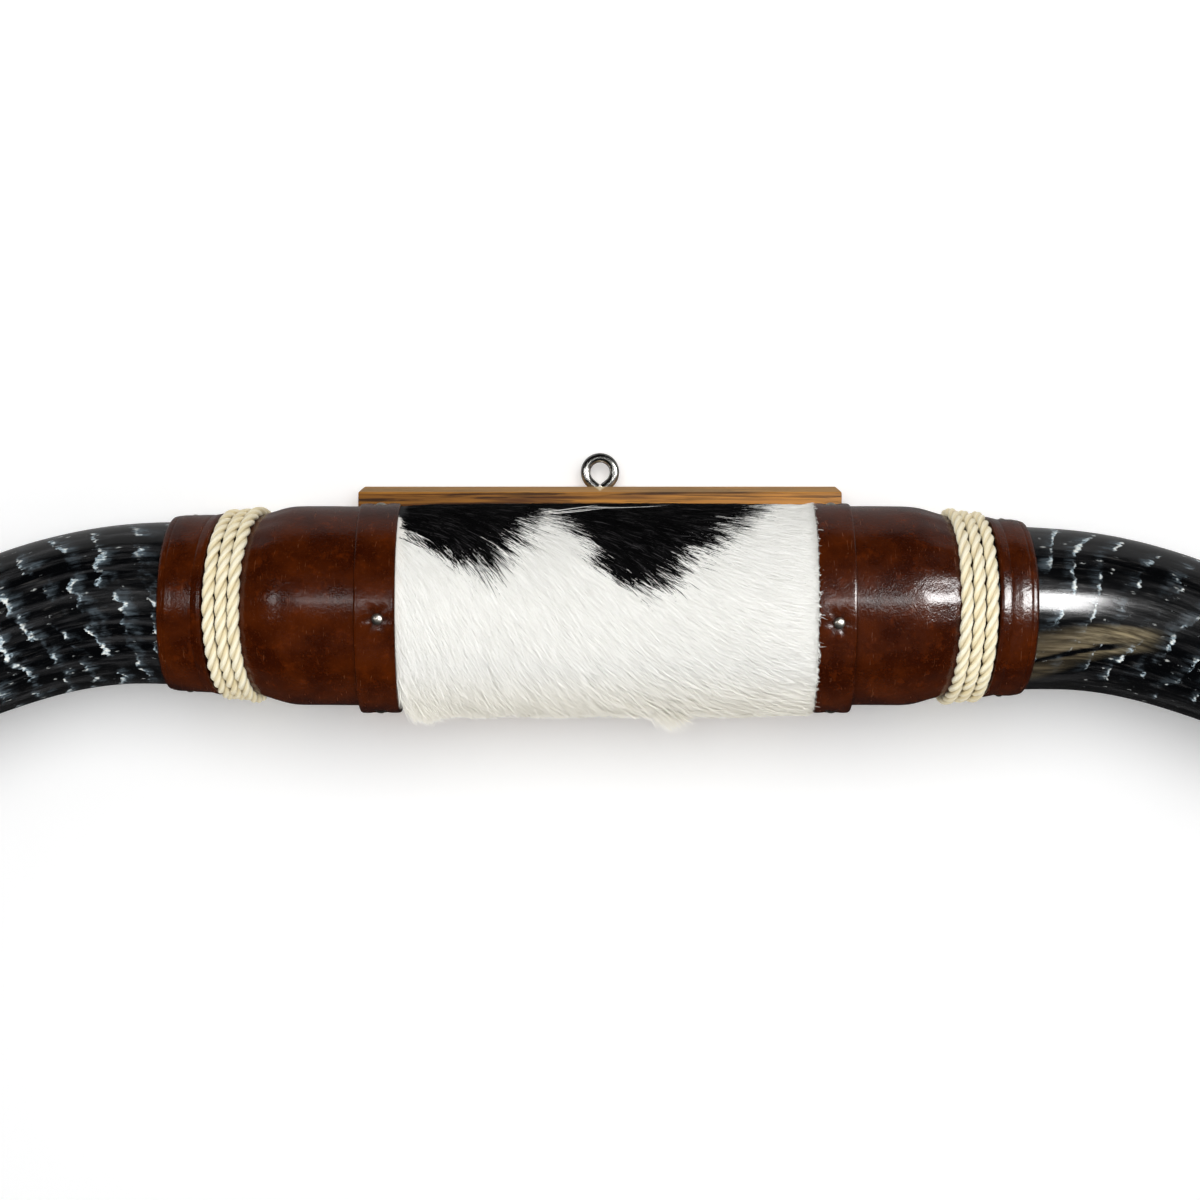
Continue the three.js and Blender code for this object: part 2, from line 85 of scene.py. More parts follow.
NAIL = {"radius": 1.9, "dome": 0.9}
PIN_RADIUS = 0.7
PIN_LENGTH = 10
TACK_ANGLES_ABOVE_AND_BELOW = {"top": 84, "bottom": -84}
NAIL_ANGLES = {"top": 88, "bottom": -88}
NAIL_FROM_COLLAR_END = 11
HORN_RADIUS = 42.9
HORN_LENGTH = 715
HORN_TAPER = 0.55

# Each half of the middle line: place along it, climb and backward sweep in degrees
ROUTE_STEP = 2
SMOOTHING_SHIFTS = (-8, -6, -4, -2, 0, 2, 4, 6, 8)
OUTER_RUN = [
    (304, -17.7, -9),
    (330, -21, -12.5),
    (365, -23, -15.5),
    (405, -22, -17.5),
    (460, -16, -18.5),
    (530, -4, -18),
    (600, 10, -15),
    (670, 25, -10),
    (740, 39, -3),
    (810, 50, 4),
    (880, 57, 9),
    (960, 61, 12),
]
LEFT_RUN = [
    (0, 0, 0),
    (150, 0, 0),
    (166, 1, 9),
    (202, 1, 9),
    (222, 2.4, 3),
    (241, -1.2, 2.5),
    (262, -8.6, -1),
    (283, -13.2, -5),
    *OUTER_RUN,
]
RIGHT_RUN = [
    (0, 0, 0),
    (152, 0, 0),
    (172, -1.2, 5),
    (207, -1.2, 5),
    (225, -0.2, 4.5),
    (241, -2.4, 3.5),
    (262, -9.2, -1),
    (283, -14.2, -5),
    *OUTER_RUN,
]


class Half:
    """One half of the mount: where its pieces lie along the middle line, and that line."""

    def __init__(self, name, sign, run, places, tack):
        self.name = name
        self.sign = sign
        self.band_from, self.band_to, self.hide_end, self.rope_at, self.collar_end = places
        self.tack_at, self.tack_angle = tack
        self.neck_end = self.rope_at + ROPE_HALF_WIDTH + GAP
        self.run = np.array(run, dtype=float).T
        self.places = np.arange(0, run[-1][0] + ROUTE_STEP, ROUTE_STEP)
        steps = self.headings(self.places[:-1] + ROUTE_STEP / 2) * ROUTE_STEP
        start = np.array([[0.0, -AXIS_FROM_WALL, 0.0]])
        self.points = np.vstack([start, start + np.cumsum(steps, axis=0)])

    def angle(self, places, values):
        moved = [np.maximum(places + shift, 0) for shift in SMOOTHING_SHIFTS]
        shifted = [np.interp(at, self.run[0], values) for at in moved]
        return np.radians(np.mean(shifted, axis=0))

    def headings(self, places):
        climb = self.angle(places, self.run[1])
        back = self.angle(places, self.run[2])
        level = np.cos(climb)
        return np.column_stack([self.sign * level * np.cos(back), level * np.sin(back), np.sin(climb)])


# Places: the band's start and end, the hide's end, the rope's middle and the collar's end
# Tack: the place and angle of the one at the front
LEFT = Half("left", -1, LEFT_RUN, places=(104, 125, 109.5, 186.5, 226), tack=(113, -7.3))
RIGHT = Half("right", 1, RIGHT_RUN, places=(111, 130.5, 116.5, 189.5, 221.5), tack=(121, -9.4))
HALVES = (LEFT, RIGHT)


def unit(vectors):
    return vectors / np.linalg.norm(vectors, axis=1, keepdims=True)


def frames_at(places):
    """Points and directions of the middle line at an array of places, those on the left negative."""
    places = np.asarray(places, dtype=float)
    points = np.empty((len(places), 3))
    along = np.empty((len(places), 3))
    for half in HALVES:
        here = places < 0 if half.sign < 0 else places >= 0
        distance = np.abs(places[here])
        columns = [np.interp(distance, half.places, half.points[:, axis]) for axis in range(3)]
        points[here] = np.column_stack(columns)
        along[here] = half.headings(distance) * half.sign
    up = unit(np.array([0.0, 0.0, 1.0]) - along[:, 2:3] * along)
    return points, along, np.cross(up, along), up


def bent(straight):
    """Straight places [along, behind, up] of the roll, bent to the middle line."""
    points, _, behind, up = frames_at(straight[:, 0])
    return points + straight[:, 1:2] * behind + straight[:, 2:3] * up


def on_roll(places, radius, angles):
    """Straight places at angles in radians round the roll: 0 is the front and a quarter turn is up."""
    return np.column_stack([places, -radius * np.cos(angles), radius * np.sin(angles)])


def smooth_share(low, high, values):
    share = np.clip((np.asarray(values, dtype=float) - low) / (high - low), 0, 1)
    return share * share * (3 - 2 * share)


# Meshes

MERGE_WITHIN = 0.001
LEVEL_WITHIN = 0.3
SMALLEST_RADIUS = 0.3


def spun(profile, sides):
    """A bmesh of [place, radius] points turned about the straight axis of the roll."""
    bm = bmesh.new()
    verts = [bm.verts.new((place, 0, radius)) for place, radius in profile]
    for first, second in zip(verts, verts[1:]):
        bm.edges.new((first, second))
    outline = bm.verts[:] + bm.edges[:]
    bmesh.ops.spin(
        bm, geom=outline, axis=(1, 0, 0), cent=(0, 0, 0), angle=math.tau, steps=sides, use_merge=True
    )
    bmesh.ops.remove_doubles(bm, verts=bm.verts, dist=MERGE_WITHIN)
    bmesh.ops.recalc_face_normals(bm, faces=bm.faces)
    return bm


def mesh_of(name, bm):
    mesh = bpy.data.meshes.new(name)
    bm.to_mesh(mesh)
    bm.free()
    return mesh


def corners_of(mesh):
    corners = np.empty(len(mesh.vertices) * 3)
    mesh.vertices.foreach_get("co", corners)
    return corners.reshape(-1, 3)


def move_corners(mesh, corners):
    mesh.vertices.foreach_set("co", (corners * MM).ravel())
    mesh.update()


def note(mesh, name, vectors):
    """Keeps a vector for each corner, for the finish to read."""
    attribute = mesh.attributes.new(name, "FLOAT_VECTOR", "POINT")
    attribute.data.foreach_set("vector", np.ascontiguousarray(vectors, dtype=np.float32).ravel())


def dense(profile, step):
    """The profile with points added so that none are further apart than the step."""
    points = [profile[0]]
    for (place, radius), (next_place, next_radius) in zip(profile, profile[1:]):
        count = max(1, math.ceil(math.hypot(next_place - place, next_radius - radius) / step))
        for i in range(1, count + 1):
            share = i / count
            points.append((place + (next_place - place) * share, radius + (next_radius - radius) * share))
    return points


def piece(mesh, finish, slot, *nodes, sharp=40):
    """A finished piece, smooth but for its sharp edges, that rides on the body and stands for the nodes."""
    mesh.shade_smooth()
    mesh.set_sharp_from_angle(angle=math.radians(sharp))
    mesh.materials.append(finish)
    thing = bpy.data.objects.new(mesh.name, mesh)
    bpy.context.scene.collection.objects.link(thing)
    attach(thing, "root")
    if nodes:
        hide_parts(*nodes)
    return thing


def turned_mesh(name, half, profile, sides, relief=None):
    """A closed profile turned, given its relief and bent to the middle line."""
    points = [(place * half.sign, radius) for place, radius in [*profile, profile[0]]]
    mesh = mesh_of(name, spun(points, sides))
    straight = corners_of(mesh)
    if relief:
        straight = relief(straight)
    move_corners(mesh, bent(straight))
    return mesh


def grown(straight, growth):
    """The straight places moved outwards from the axis by an array of growths."""
    radius = np.maximum(np.hypot(straight[:, 1], straight[:, 2]), SMALLEST_RADIUS)
    moved = straight.copy()
    moved[:, 1:] *= ((radius + growth) / radius)[:, None]
    return moved


def round_angle(straight):
    return np.arctan2(straight[:, 2], -straight[:, 1])


def ripples(angle, place, waves):
    """Waves round the roll, added up. Each has a count, a height, a twist along the roll and a start."""
    rows = [height * np.sin(count * angle + twist * place + start) for count, height, twist, start in waves]
    return np.sum(rows, axis=0)


def cut_at_board(mesh, cutter):
    """Cuts away what lies behind the board's front face."""
    thing = bpy.data.objects.new("uncut", mesh)
    bpy.context.scene.collection.objects.link(thing)
    cut = thing.modifiers.new("cut", "BOOLEAN")
    cut.operation = "DIFFERENCE"
    cut.solver = "EXACT"
    cut.object = cutter
    seen = thing.evaluated_get(bpy.context.evaluated_depsgraph_get())
    result = bpy.data.meshes.new_from_object(seen)
    name = mesh.name
    bpy.data.objects.remove(thing)
    bpy.data.meshes.remove(mesh)
    result.name = name
    return result


def board_cutter():
    bm = bmesh.new()
    bmesh.ops.create_cube(bm, size=1)
    size = 4 * CORE_RADIUS
    bmesh.ops.scale(bm, vec=(BOARD_WIDTH + 2 * GAP, size, size), verts=bm.verts)
    bmesh.ops.translate(bm, vec=(0, size / 2 - BOARD_THICKNESS - GAP, 0), verts=bm.verts)
    bmesh.ops.scale(bm, vec=(MM, MM, MM), verts=bm.verts)
    cutter = bpy.data.objects.new("cutter", mesh_of("cutter", bm))
    bpy.context.scene.collection.objects.link(cutter)
    return cutter


# Finishes

# Heights at which they change, in metres: where the rope's painted shade starts above and below, the hair's
# cream, the board's greyer top and the torn wood round the eye
ROPE_SHADED = (0.034, 0.052)
HAIR_CREAM = (-0.058, -0.03)
BOARD_GREYER_ON_TOP = (0.0607, 0.0612)
BOARD_TORN = 0.0635
# Slanting lines of flecks on the horns, in millimetres
FLECK_LINE_SPACING = 18.0
FLECK_LINE_SWAY = 34.0
# On the belted horn: where flecks are fewer below, and where they are more by the collar
FEWER_FLECKS_BELOW = (-38.0, -26.0)
MORE_FLECKS_OUT_TO = (15.0, 60.0)
# The belt, in millimetres, and the dark line that splits it
BELT_BELOW, BELT_SLOPE = 25.0, 0.24
BELT_HALF_WIDTH, BELT_NARROWING = 12.5, 0.09
BELT_ENDS = (50.0, 82.0)
BELT_BACK = (-22.0, -8.0)
BELT_PALER_OUT_TO = (5.0, 50.0)
SPLIT_BELOW, SPLIT_SLOPE, SPLIT_WANDER = 28.5, 0.25, 8.0
SPLIT_HALF_WIDTH = (0.8, 2.6)
SPLIT_ENDS = (46.0, 66.0)


class Value:
    """A socket in a finish's nodes, with the sums that the finishes use."""

    def __init__(self, finish, socket):
        self.finish = finish
        self.socket = socket

    def __add__(self, other):
        return self.finish.maths("ADD", self, other)

    def __sub__(self, other):
        return self.finish.maths("SUBTRACT", self, other)

    def __rsub__(self, other):
        return self.finish.maths("SUBTRACT", other, self)

    def __mul__(self, other):
        return self.finish.maths("MULTIPLY", self, other)

    def __truediv__(self, other):
        return self.finish.maths("DIVIDE", self, other)

    __radd__ = __add__
    __rmul__ = __mul__


class Finish:
    """One material: a Principled surface whose colour, roughness and bump come from nodes."""

    def __init__(self, name, **constants):
        self.material = bpy.data.materials.new(name)
        self.material.use_nodes = True
        self.tree = self.material.node_tree
        self.surface = self.tree.nodes["Principled BSDF"]
        for socket, value in constants.items():
            self.surface.inputs[socket.replace("_", " ")].default_value = value

    def put(self, socket, value):
        if isinstance(value, Value):
            self.tree.links.new(value.socket, socket)
        elif value is not None:
            socket.default_value = value

    def node(self, kind, settings, inputs, output=0):
        node = self.tree.nodes.new(kind)
        for key, value in settings.items():
            setattr(node, key, value)
        for key, value in inputs.items():
            self.put(node.inputs[key], value)
        return Value(self, node.outputs[output])

    def maths(self, operation, first, second=0.0):
        return self.node("ShaderNodeMath", {"operation": operation}, {0: first, 1: second})

    def object_place(self):
        return self.node("ShaderNodeTexCoord", {}, {}, "Object")

    def object_millimetres(self):
        return self.scaled(self.object_place(), 1 / MM)

    def noted(self, name):
        return self.node("ShaderNodeAttribute", {"attribute_name": name}, {}, "Vector")

    def parts(self, vector):
        return [self.node("ShaderNodeSeparateXYZ", {}, {0: vector}, axis) for axis in range(3)]

    def stretched(self, vector, scale, shift=(0, 0, 0)):
        settings = {"operation": "MULTIPLY_ADD"}
        return self.node("ShaderNodeVectorMath", settings, {0: vector, 1: scale, 2: shift})

    def scaled(self, vector, scale, shift=(0, 0, 0)):
        return self.stretched(vector, (scale, scale, scale), shift)

    def noise(self, vector, detail=3.0, roughness=0.55, distortion=0.0):
        inputs = {"Vector": vector, "Scale": 1.0, "Detail": detail}
        inputs |= {"Roughness": roughness, "Distortion": distortion}
        return self.node("ShaderNodeTexNoise", {}, inputs)

    def cells(self, vector):
        return self.node("ShaderNodeTexVoronoi", {"feature": "F1"}, {"Vector": vector, "Scale": 1.0})

    def between(self, value, low, high, out_low=0.0, out_high=1.0):
        settings = {"interpolation_type": "SMOOTHSTEP", "clamp": True}
        inputs = {0: value, 1: low, 2: high, 3: out_low, 4: out_high}
        return self.node("ShaderNodeMapRange", settings, inputs)

    def mix(self, share, first, second):
        settings = {"data_type": "RGBA", "blend_type": "MIX"}
        colours = [x if isinstance(x, Value) else (*x, 1.0) for x in (first, second)]
        return self.node("ShaderNodeMix", settings, {0: share, 6: colours[0], 7: colours[1]}, 2)

    def finish(self, colour, roughness=None, bump=None, depth=0.0):
        self.put(self.surface.inputs["Base Color"], colour)
        self.put(self.surface.inputs["Roughness"], roughness)
        if bump is not None:
            inputs = {"Height": bump, "Distance": depth * MM, "Strength": 1.0}
            self.put(self.surface.inputs["Normal"], self.node("ShaderNodeBump", {}, inputs))
        return self.material


def horn_finish(name, shift, slant, wander, sparse, smudge, tan_belt):
    """Polished black horn, streaked lengthwise, with white flecks strung along slanting lines."""
    paint = Finish(name, Coat_Weight=0.3, Coat_Roughness=0.11, IOR=1.5)
    place = paint.noted("grown")
    out, behind, up = paint.parts(place)
    long_streaks = paint.noise(paint.stretched(place, (0.012, 0.16, 0.16), shift), 5.0, 0.6)
    fine_streaks = paint.noise(paint.stretched(place, (0.05, 0.55, 0.55), shift), 4.0, 0.6)
    crumbs = paint.noise(paint.stretched(place, (0.22, 0.42, 0.42), shift), 4.0, 0.65)
    wobble = paint.noise(paint.stretched(place, (0.05, 0.15, 0.15), shift), 5.0, 0.68)
    sway = paint.noise(paint.scaled(place, 0.02, shift), 2.0)
    clumps = paint.noise(paint.stretched(place, (0.06, 0.085, 0.085), shift), 3.0, 0.6)
    if tan_belt:
        clumps = clumps - paint.between(up, *FEWER_FLECKS_BELOW, 0.12, 0.0)
        clumps = clumps + paint.between(out, *MORE_FLECKS_OUT_TO, 0.045, 0.0)
    lines_at = out - up * slant + wobble * wander + sway * FLECK_LINE_SWAY
    step = paint.maths("FRACT", lines_at / FLECK_LINE_SPACING)
    sharp_side = paint.between(step, 0.94, 0.98, 1.0, 0.0)
    dabs = paint.between(clumps, sparse, sparse + 0.08) * paint.between(crumbs, 0.38, 0.5)
    stroke = paint.between(step + (clumps - sparse) * smudge, 0.84, 0.95) * sharp_side * dabs
    near_lines = paint.between(step, 0.35, 0.95) * sharp_side
    smears = near_lines * paint.between(clumps, sparse - 0.09, sparse + 0.1)
    smears = smears * paint.between(fine_streaks, 0.34, 0.66)
    specks_at = paint.cells(paint.stretched(place, (0.09, 0.24, 0.24), shift))
    specks = paint.between(specks_at, 0.05, 0.22, 1.0, 0.0) * paint.between(crumbs, 0.5, 0.6)
    white = paint.maths("MINIMUM", stroke + specks * 0.5, 1.0)
    smoke = [x * smudge for x in (0.042, 0.042, 0.044)]
    dark = paint.mix(paint.between(long_streaks, 0.46, 0.72), (0.0015, 0.0017, 0.0022), smoke)
    dark = paint.mix(paint.between(fine_streaks, 0.56, 0.8), dark, (0.04, 0.038, 0.036))
    dark = paint.mix(smears * smudge, dark, (0.13, 0.17, 0.2))
    if tan_belt:
        dark = belted(paint, dark, out, behind, up, long_streaks, fine_streaks)
    pale = paint.mix(paint.between(crumbs, 0.45, 0.62), (0.34, 0.44, 0.5), (0.82, 0.84, 0.8))
    colour = paint.mix(white, dark, pale)
    roughness = paint.between(fine_streaks, 0.3, 0.8, 0.14, 0.26)
    return paint.finish(colour, roughness, fine_streaks, 0.06)


def belted(paint, dark, out, behind, up, long_streaks, fine_streaks):
    """The dark horn with an olive-brown belt below its middle, split by a dark line."""
    aside = paint.maths("ABSOLUTE", up - out * BELT_SLOPE + BELT_BELOW)
    half_width = BELT_HALF_WIDTH - out * BELT_NARROWING
    belt = paint.between(aside / half_width, 0.5, 1.2, 1.0, 0.0) * paint.between(out, *BELT_ENDS, 1.0, 0.0)
    belt = belt * paint.between(behind, *BELT_BACK, 1.0, 0.0)
    belt = belt * paint.between(long_streaks, 0.3, 0.6, 0.2, 0.9)
    wander = (long_streaks - 0.5) * SPLIT_WANDER
    from_split = paint.maths("ABSOLUTE", up - out * SPLIT_SLOPE + SPLIT_BELOW + wander)
    split = paint.between(from_split, *SPLIT_HALF_WIDTH, 1.0, 0.0)
    split = split * paint.between(out, *SPLIT_ENDS, 1.0, 0.0)
    pale = paint.mix(paint.between(out, *BELT_PALER_OUT_TO), (0.19, 0.15, 0.09), (0.44, 0.36, 0.21))
    olive = paint.mix(paint.between(fine_streaks, 0.3, 0.75), (0.09, 0.07, 0.042), pale)
    return paint.mix(belt * (1.0 - split), dark, olive)


def leather_finish(name, dark, light):
    """Glossy brown leather: mottled, finely grained, with a few scratches, and painted shade by the rope and
    round the tacks.
    """
    paint = Finish(name, Coat_Weight=0.15, Coat_Roughness=0.12, IOR=1.48, Specular_IOR_Level=0.4)
    place = paint.object_millimetres()
    mottle = paint.noise(paint.scaled(place, 0.045), 5.0, 0.6)
    blotch = paint.noise(paint.scaled(place, 0.17), 4.0, 0.65)
    pores = paint.cells(paint.scaled(place, 1.1))
    grain = paint.noise(paint.scaled(place, 1.6), 3.0, 0.6)
    wrinkles = paint.noise(paint.scaled(place, 0.3), 3.0, 0.5, 1.5)
    scratch_at = paint.noise(paint.stretched(place, (0.9, 0.05, 0.12)), 2.0, 0.5, 0.6)
    scratch = paint.between(scratch_at, 0.65, 0.7) * paint.between(blotch, 0.46, 0.56)
    flecks = paint.between(paint.noise(paint.scaled(place, 0.8), 4.0, 0.7), 0.56, 0.72)
    colour = paint.mix(paint.between(mottle, 0.3, 0.7), dark, light)
    colour = paint.mix(paint.between(blotch, 0.52, 0.75) * 0.55, colour, [x * 1.7 for x in light])
    colour = paint.mix(paint.between(pores, 0.0, 0.3, 0.35, 0.0), colour, [x * 0.5 for x in dark])
    colour = paint.mix(flecks * 0.5, colour, (0.12, 0.028, 0.004))
    colour = paint.mix(scratch * 0.22, colour, (0.22, 0.07, 0.02))
    # Painted shade, noted on the sleeves by the rope and on the bands round the tacks
    in_painted_shade = paint.parts(paint.noted("painted_shade"))[0]
    colour = paint.mix(in_painted_shade, colour, [x * 0.2 for x in dark])
    roughness = paint.between(grain, 0.3, 0.7, 0.16, 0.25) + scratch * 0.15 + in_painted_shade * 0.2
    return paint.finish(colour, roughness, pores * 0.4 + grain * 0.3 + blotch + wrinkles * 1.8, 0.1)


def rope_finish():
    """Cream twisted fibre, with painted shade in the grooves between the strands, along their flanks, and at
    the rope's top and bottom.
    """
    paint = Finish("rope_cream", IOR=1.45, Sheen_Weight=0.15)
    place = paint.noted("strand")
    outwards, across = paint.parts(place)[1:]
    fibres = paint.noise(paint.stretched(place, (0.06, 2.2, 2.2)), 4.0, 0.65)
    patches = paint.noise(paint.stretched(place, (0.03, 0.1, 0.1)), 3.0)
    colour = paint.mix(paint.between(fibres, 0.3, 0.7), (0.93, 0.83, 0.57), (0.99, 0.95, 0.78))
    colour = paint.mix(paint.between(patches, 0.5, 0.75) * 0.5, colour, (0.9, 0.77, 0.47))
    # Painted shade at the rope's top and bottom, where it turns away from the light
    height = paint.maths("ABSOLUTE", paint.parts(paint.object_place())[2])
    colour = paint.mix(paint.between(height, *ROPE_SHADED, 0.0, 0.4), colour, (0.6, 0.48, 0.27))
    # Painted shade along each strand's flanks
    edges = paint.between(paint.maths("ABSOLUTE", across), 1.0, 1.8, 0.0, 0.5)
    colour = paint.mix(edges, colour, (0.68, 0.55, 0.28))
    # Painted shade in the grooves between the strands
    colour = paint.mix(paint.between(outwards, -1.3, 0.4, 0.7, 0.0), colour, (0.42, 0.32, 0.14))
    return paint.finish(colour, paint.between(fibres, 0.3, 0.7, 0.55, 0.75), fibres, 0.3)


def hair_finish():
    """White hair with black patches: each hair's own tone, shade and place along it, with painted shade
    towards the roots and painted glints on some black hairs.
    """
    paint = Finish("hide_hair", IOR=1.5, Specular_IOR_Level=0.06)
    tone, shade, along = paint.parts(paint.noted("hair"))
    height = paint.parts(paint.object_place())[2]
    cream = paint.between(height, *HAIR_CREAM, 0.8, 0.0)
    white = paint.mix(shade, (0.84, 0.835, 0.795), (0.98, 0.975, 0.945))
    white = paint.mix(cream, white, (0.96, 0.93, 0.84))
    # Painted shade towards the roots, where the hairs lie under one another
    white = paint.mix(paint.between(along, 0.0, 0.5, 0.2, 0.0), white, (0.74, 0.7, 0.62))
    # Painted glints: the lightest black hairs turn grey
    painted_glint = paint.between(shade, 0.78, 1.0)
    black = paint.mix(painted_glint, (0.001, 0.001, 0.0013), (0.05, 0.048, 0.05))
    return paint.finish(paint.mix(tone, white, black), paint.between(shade, 0.0, 1.0, 0.5, 0.65))


def skin_finish():
    """The hide's skin between the hairs, toned as they are."""
    paint = Finish("hide_skin", IOR=1.45)
    tone = paint.parts(paint.noted("hair"))[0]
    pores = paint.noise(paint.scaled(paint.object_millimetres(), 0.8), 4.0, 0.6)
    white = paint.mix(pores, (0.76, 0.73, 0.67), (0.88, 0.86, 0.82))
    black = paint.mix(pores, (0.002, 0.002, 0.0025), (0.01, 0.01, 0.011))
    return paint.finish(paint.mix(tone, white, black), paint.between(pores, 0.3, 0.7, 0.6, 0.8), pores, 0.2)


def wood_finish(name, dark, light):
    """Oiled wood with its grain along the board."""
    paint = Finish(name, IOR=1.48, Specular_IOR_Level=0.2)
    place = paint.object_place()
    bend = paint.noise(paint.stretched(place, (9.0, 60.0, 60.0)), 2.0)
    grain = paint.noise(paint.stretched(place, (12.0, 480.0, 480.0)), 5.0, 0.65, 0.4)
    rings = paint.noise(paint.stretched(place, (5.0, 190.0, 190.0)), 4.0, 0.6, 0.8)
    pores = paint.noise(paint.stretched(place, (45.0, 1500.0, 1500.0)), 2.0)
    colour = paint.mix(paint.between(rings, 0.34, 0.66), dark, light)
    colour = paint.mix(paint.between(grain, 0.48, 0.58) * 0.9, colour, [x * 0.3 for x in dark])
    colour = paint.mix(paint.between(bend, 0.5, 0.75) * 0.6, colour, [x * 1.35 for x in light])
    colour = paint.mix(paint.between(pores, 0.58, 0.7) * 0.5, colour, [x * 0.35 for x in dark])
    across, _, height = paint.parts(place)
    # Greyer along the top chamfer, by height alone
    greyer_on_top = paint.between(height, *BOARD_GREYER_ON_TOP, 0.0, 0.75)
    colour = paint.mix(greyer_on_top, colour, [light[0] * 0.6, light[1] * 0.9, light[2] * 3.6])
    aside = paint.maths("ABSOLUTE", across)
    above_or_below = paint.maths("ABSOLUTE", height - BOARD_TORN)
    torn = aside * 190.0 + above_or_below * 260.0 + grain * 0.8
    colour = paint.mix(paint.between(torn, 0.7, 1.0, 0.9, 0.0), colour, (0.66, 0.55, 0.36))
    return paint.finish(colour, paint.between(grain, 0.3, 0.7, 0.5, 0.66), grain + pores * 0.6, 0.3)


def steel_finish(name, dark, light, smoothest, roughest):
    """Plated steel, a little scuffed."""
    paint = Finish(name, Metallic=1.0)
    place = paint.object_place()
    cloud = paint.noise(paint.scaled(place, 220.0), 4.0, 0.6)
    scuff = paint.noise(paint.stretched(place, (1800.0, 500.0, 1800.0)), 3.0, 0.6)
    colour = paint.mix(paint.between(cloud, 0.35, 0.7), dark, light)
    return paint.finish(colour, paint.between(scuff, 0.3, 0.75, smoothest, roughest), scuff, 0.02)


LEATHER_DARK = (0.026, 0.0032, 0.0001)
LEATHER_LIGHT = (0.064, 0.0102, 0.0003)
leather = leather_finish("leather_brown", LEATHER_DARK, LEATHER_LIGHT)
steel = steel_finish("steel_plated", (0.3, 0.295, 0.28), (0.6, 0.59, 0.56), smoothest=0.14, roughest=0.28)
nickel = steel_finish("nickel_dull", (0.5, 0.47, 0.41), (0.68, 0.65, 0.58), smoothest=0.3, roughest=0.44)
board_wood = wood_finish("board_wood", (0.1, 0.03, 0.003), (0.56, 0.23, 0.026))
core_wood = wood_finish("core_wood", (0.3, 0.19, 0.09), (0.5, 0.35, 0.18))
rope_cream = rope_finish()
hair_coat = hair_finish()
hide_skin = skin_finish()

# Camera, level and straight on, as far away as the photograph shows
CAMERA_FROM_AXIS = 1.5
CAMERA_HEIGHT = 0.0029
VIEW_WIDTH = 0.63
SENSOR = 36

lens = bpy.data.cameras.new("camera")
lens.sensor_width = SENSOR
lens.lens = SENSOR * CAMERA_FROM_AXIS / VIEW_WIDTH
camera = bpy.data.objects.new("camera", lens)
camera.location = (0, -AXIS_FROM_WALL * MM - CAMERA_FROM_AXIS, CAMERA_HEIGHT)
camera.rotation_euler = (math.pi / 2, 0, 0)
bpy.context.scene.collection.objects.link(camera)
bpy.context.scene.camera = camera


# Horns

HORN_STATIONS = 230
STATION_CROWDING = 1.25
HORN_SIDES = 72
HORN_WAVES = ((5, 0.28, 0.008, 0), (9, 0.16, -0.013, 1))
SWELLING, SWELLING_EVERY, SWELLING_TWIST = 0.22, 17, 90
RELIEF_FADES_OVER = 12


def horn_radius(half, distance):
    share = np.maximum(1 - (np.asarray(distance) - half.collar_end) / HORN_LENGTH, 0)
    return HORN_RADIUS * share**HORN_TAPER


def horn_relief(straight):
    """Faint lengthwise flats and swellings, as a grown horn has."""
    angle = round_angle(straight)
    distance = np.abs(straight[:, 0])
    flats = ripples(angle, distance, HORN_WAVES)
    swell = SWELLING * np.sin(distance / SWELLING_EVERY) * np.sin(angle + distance / SWELLING_TWIST)
    off_plug = np.hypot(straight[:, 1], straight[:, 2]) - PLUG_RADIUS
    return grown(straight, (flats + swell) * smooth_share(0, RELIEF_FADES_OVER, off_plug))


def horn(half, finish):
    base = half.neck_end + GAP
    bore = PLUG_RADIUS + GAP
    bore_end = base + PLUG_LENGTH + GAP
    shares = np.linspace(0, 1, HORN_STATIONS)
    places = base + (half.collar_end + HORN_LENGTH - base) * (1 - (1 - shares) ** STATION_CROWDING)
    profile = [(bore_end, 0), (bore_end, bore), (base, bore)]
    profile += list(zip(places, horn_radius(half, places)))
    points = [(place * half.sign, radius) for place, radius in profile]
    mesh = mesh_of(f"{half.name}_horn_grown", spun(points, HORN_SIDES))
    straight = corners_of(mesh)
    outwards = straight.copy()
    outwards[:, 0] = np.abs(straight[:, 0]) - half.collar_end
    note(mesh, "grown", outwards)
    move_corners(mesh, bent(horn_relief(straight)))
    return piece(mesh, finish, "horn", f"{half.name}_horn", sharp=60)


left_black = horn_finish(
    "left_horn_black", (3.1, 1.7, 5.2), slant=0.25, wander=22.0, sparse=0.5, smudge=0.8, tan_belt=False
)
left_horn = horn(LEFT, left_black)
right_black = horn_finish(
    "right_horn_black", (7.4, 2.9, 1.3), slant=0.46, wander=13.0, sparse=0.52, smudge=0.5, tan_belt=True
)
right_horn = horn(RIGHT, right_black)


# Leather sleeves, bands and collars

LEATHER_SIDES = 200
LEATHER_STEP = 1.0
UNEVENNESS = {"sleeve": 0.07, "band": 0.06, "collar": 0.08}
HAND_WAVES = ((3, 1.0, 1 / 21, 0), (5, 0.7, -1 / 9, 2), (11, 0.5, 1 / 5, 0))
# Dimples round the pins: how far they reach and how deep they are, and the small folds round them. The
# tacks' shade is how far the painted shade in their dimples reaches and how dark it is
TACK_DIMPLE = (4.8, 1.5)
TACK_SHADE = (4.4, 0.8)
NAIL_DIMPLE = (4.0, 0.8)
FOLD_COUNT, FOLD_HEIGHT, FOLD_NARROWNESS = 6, 0.25, 3
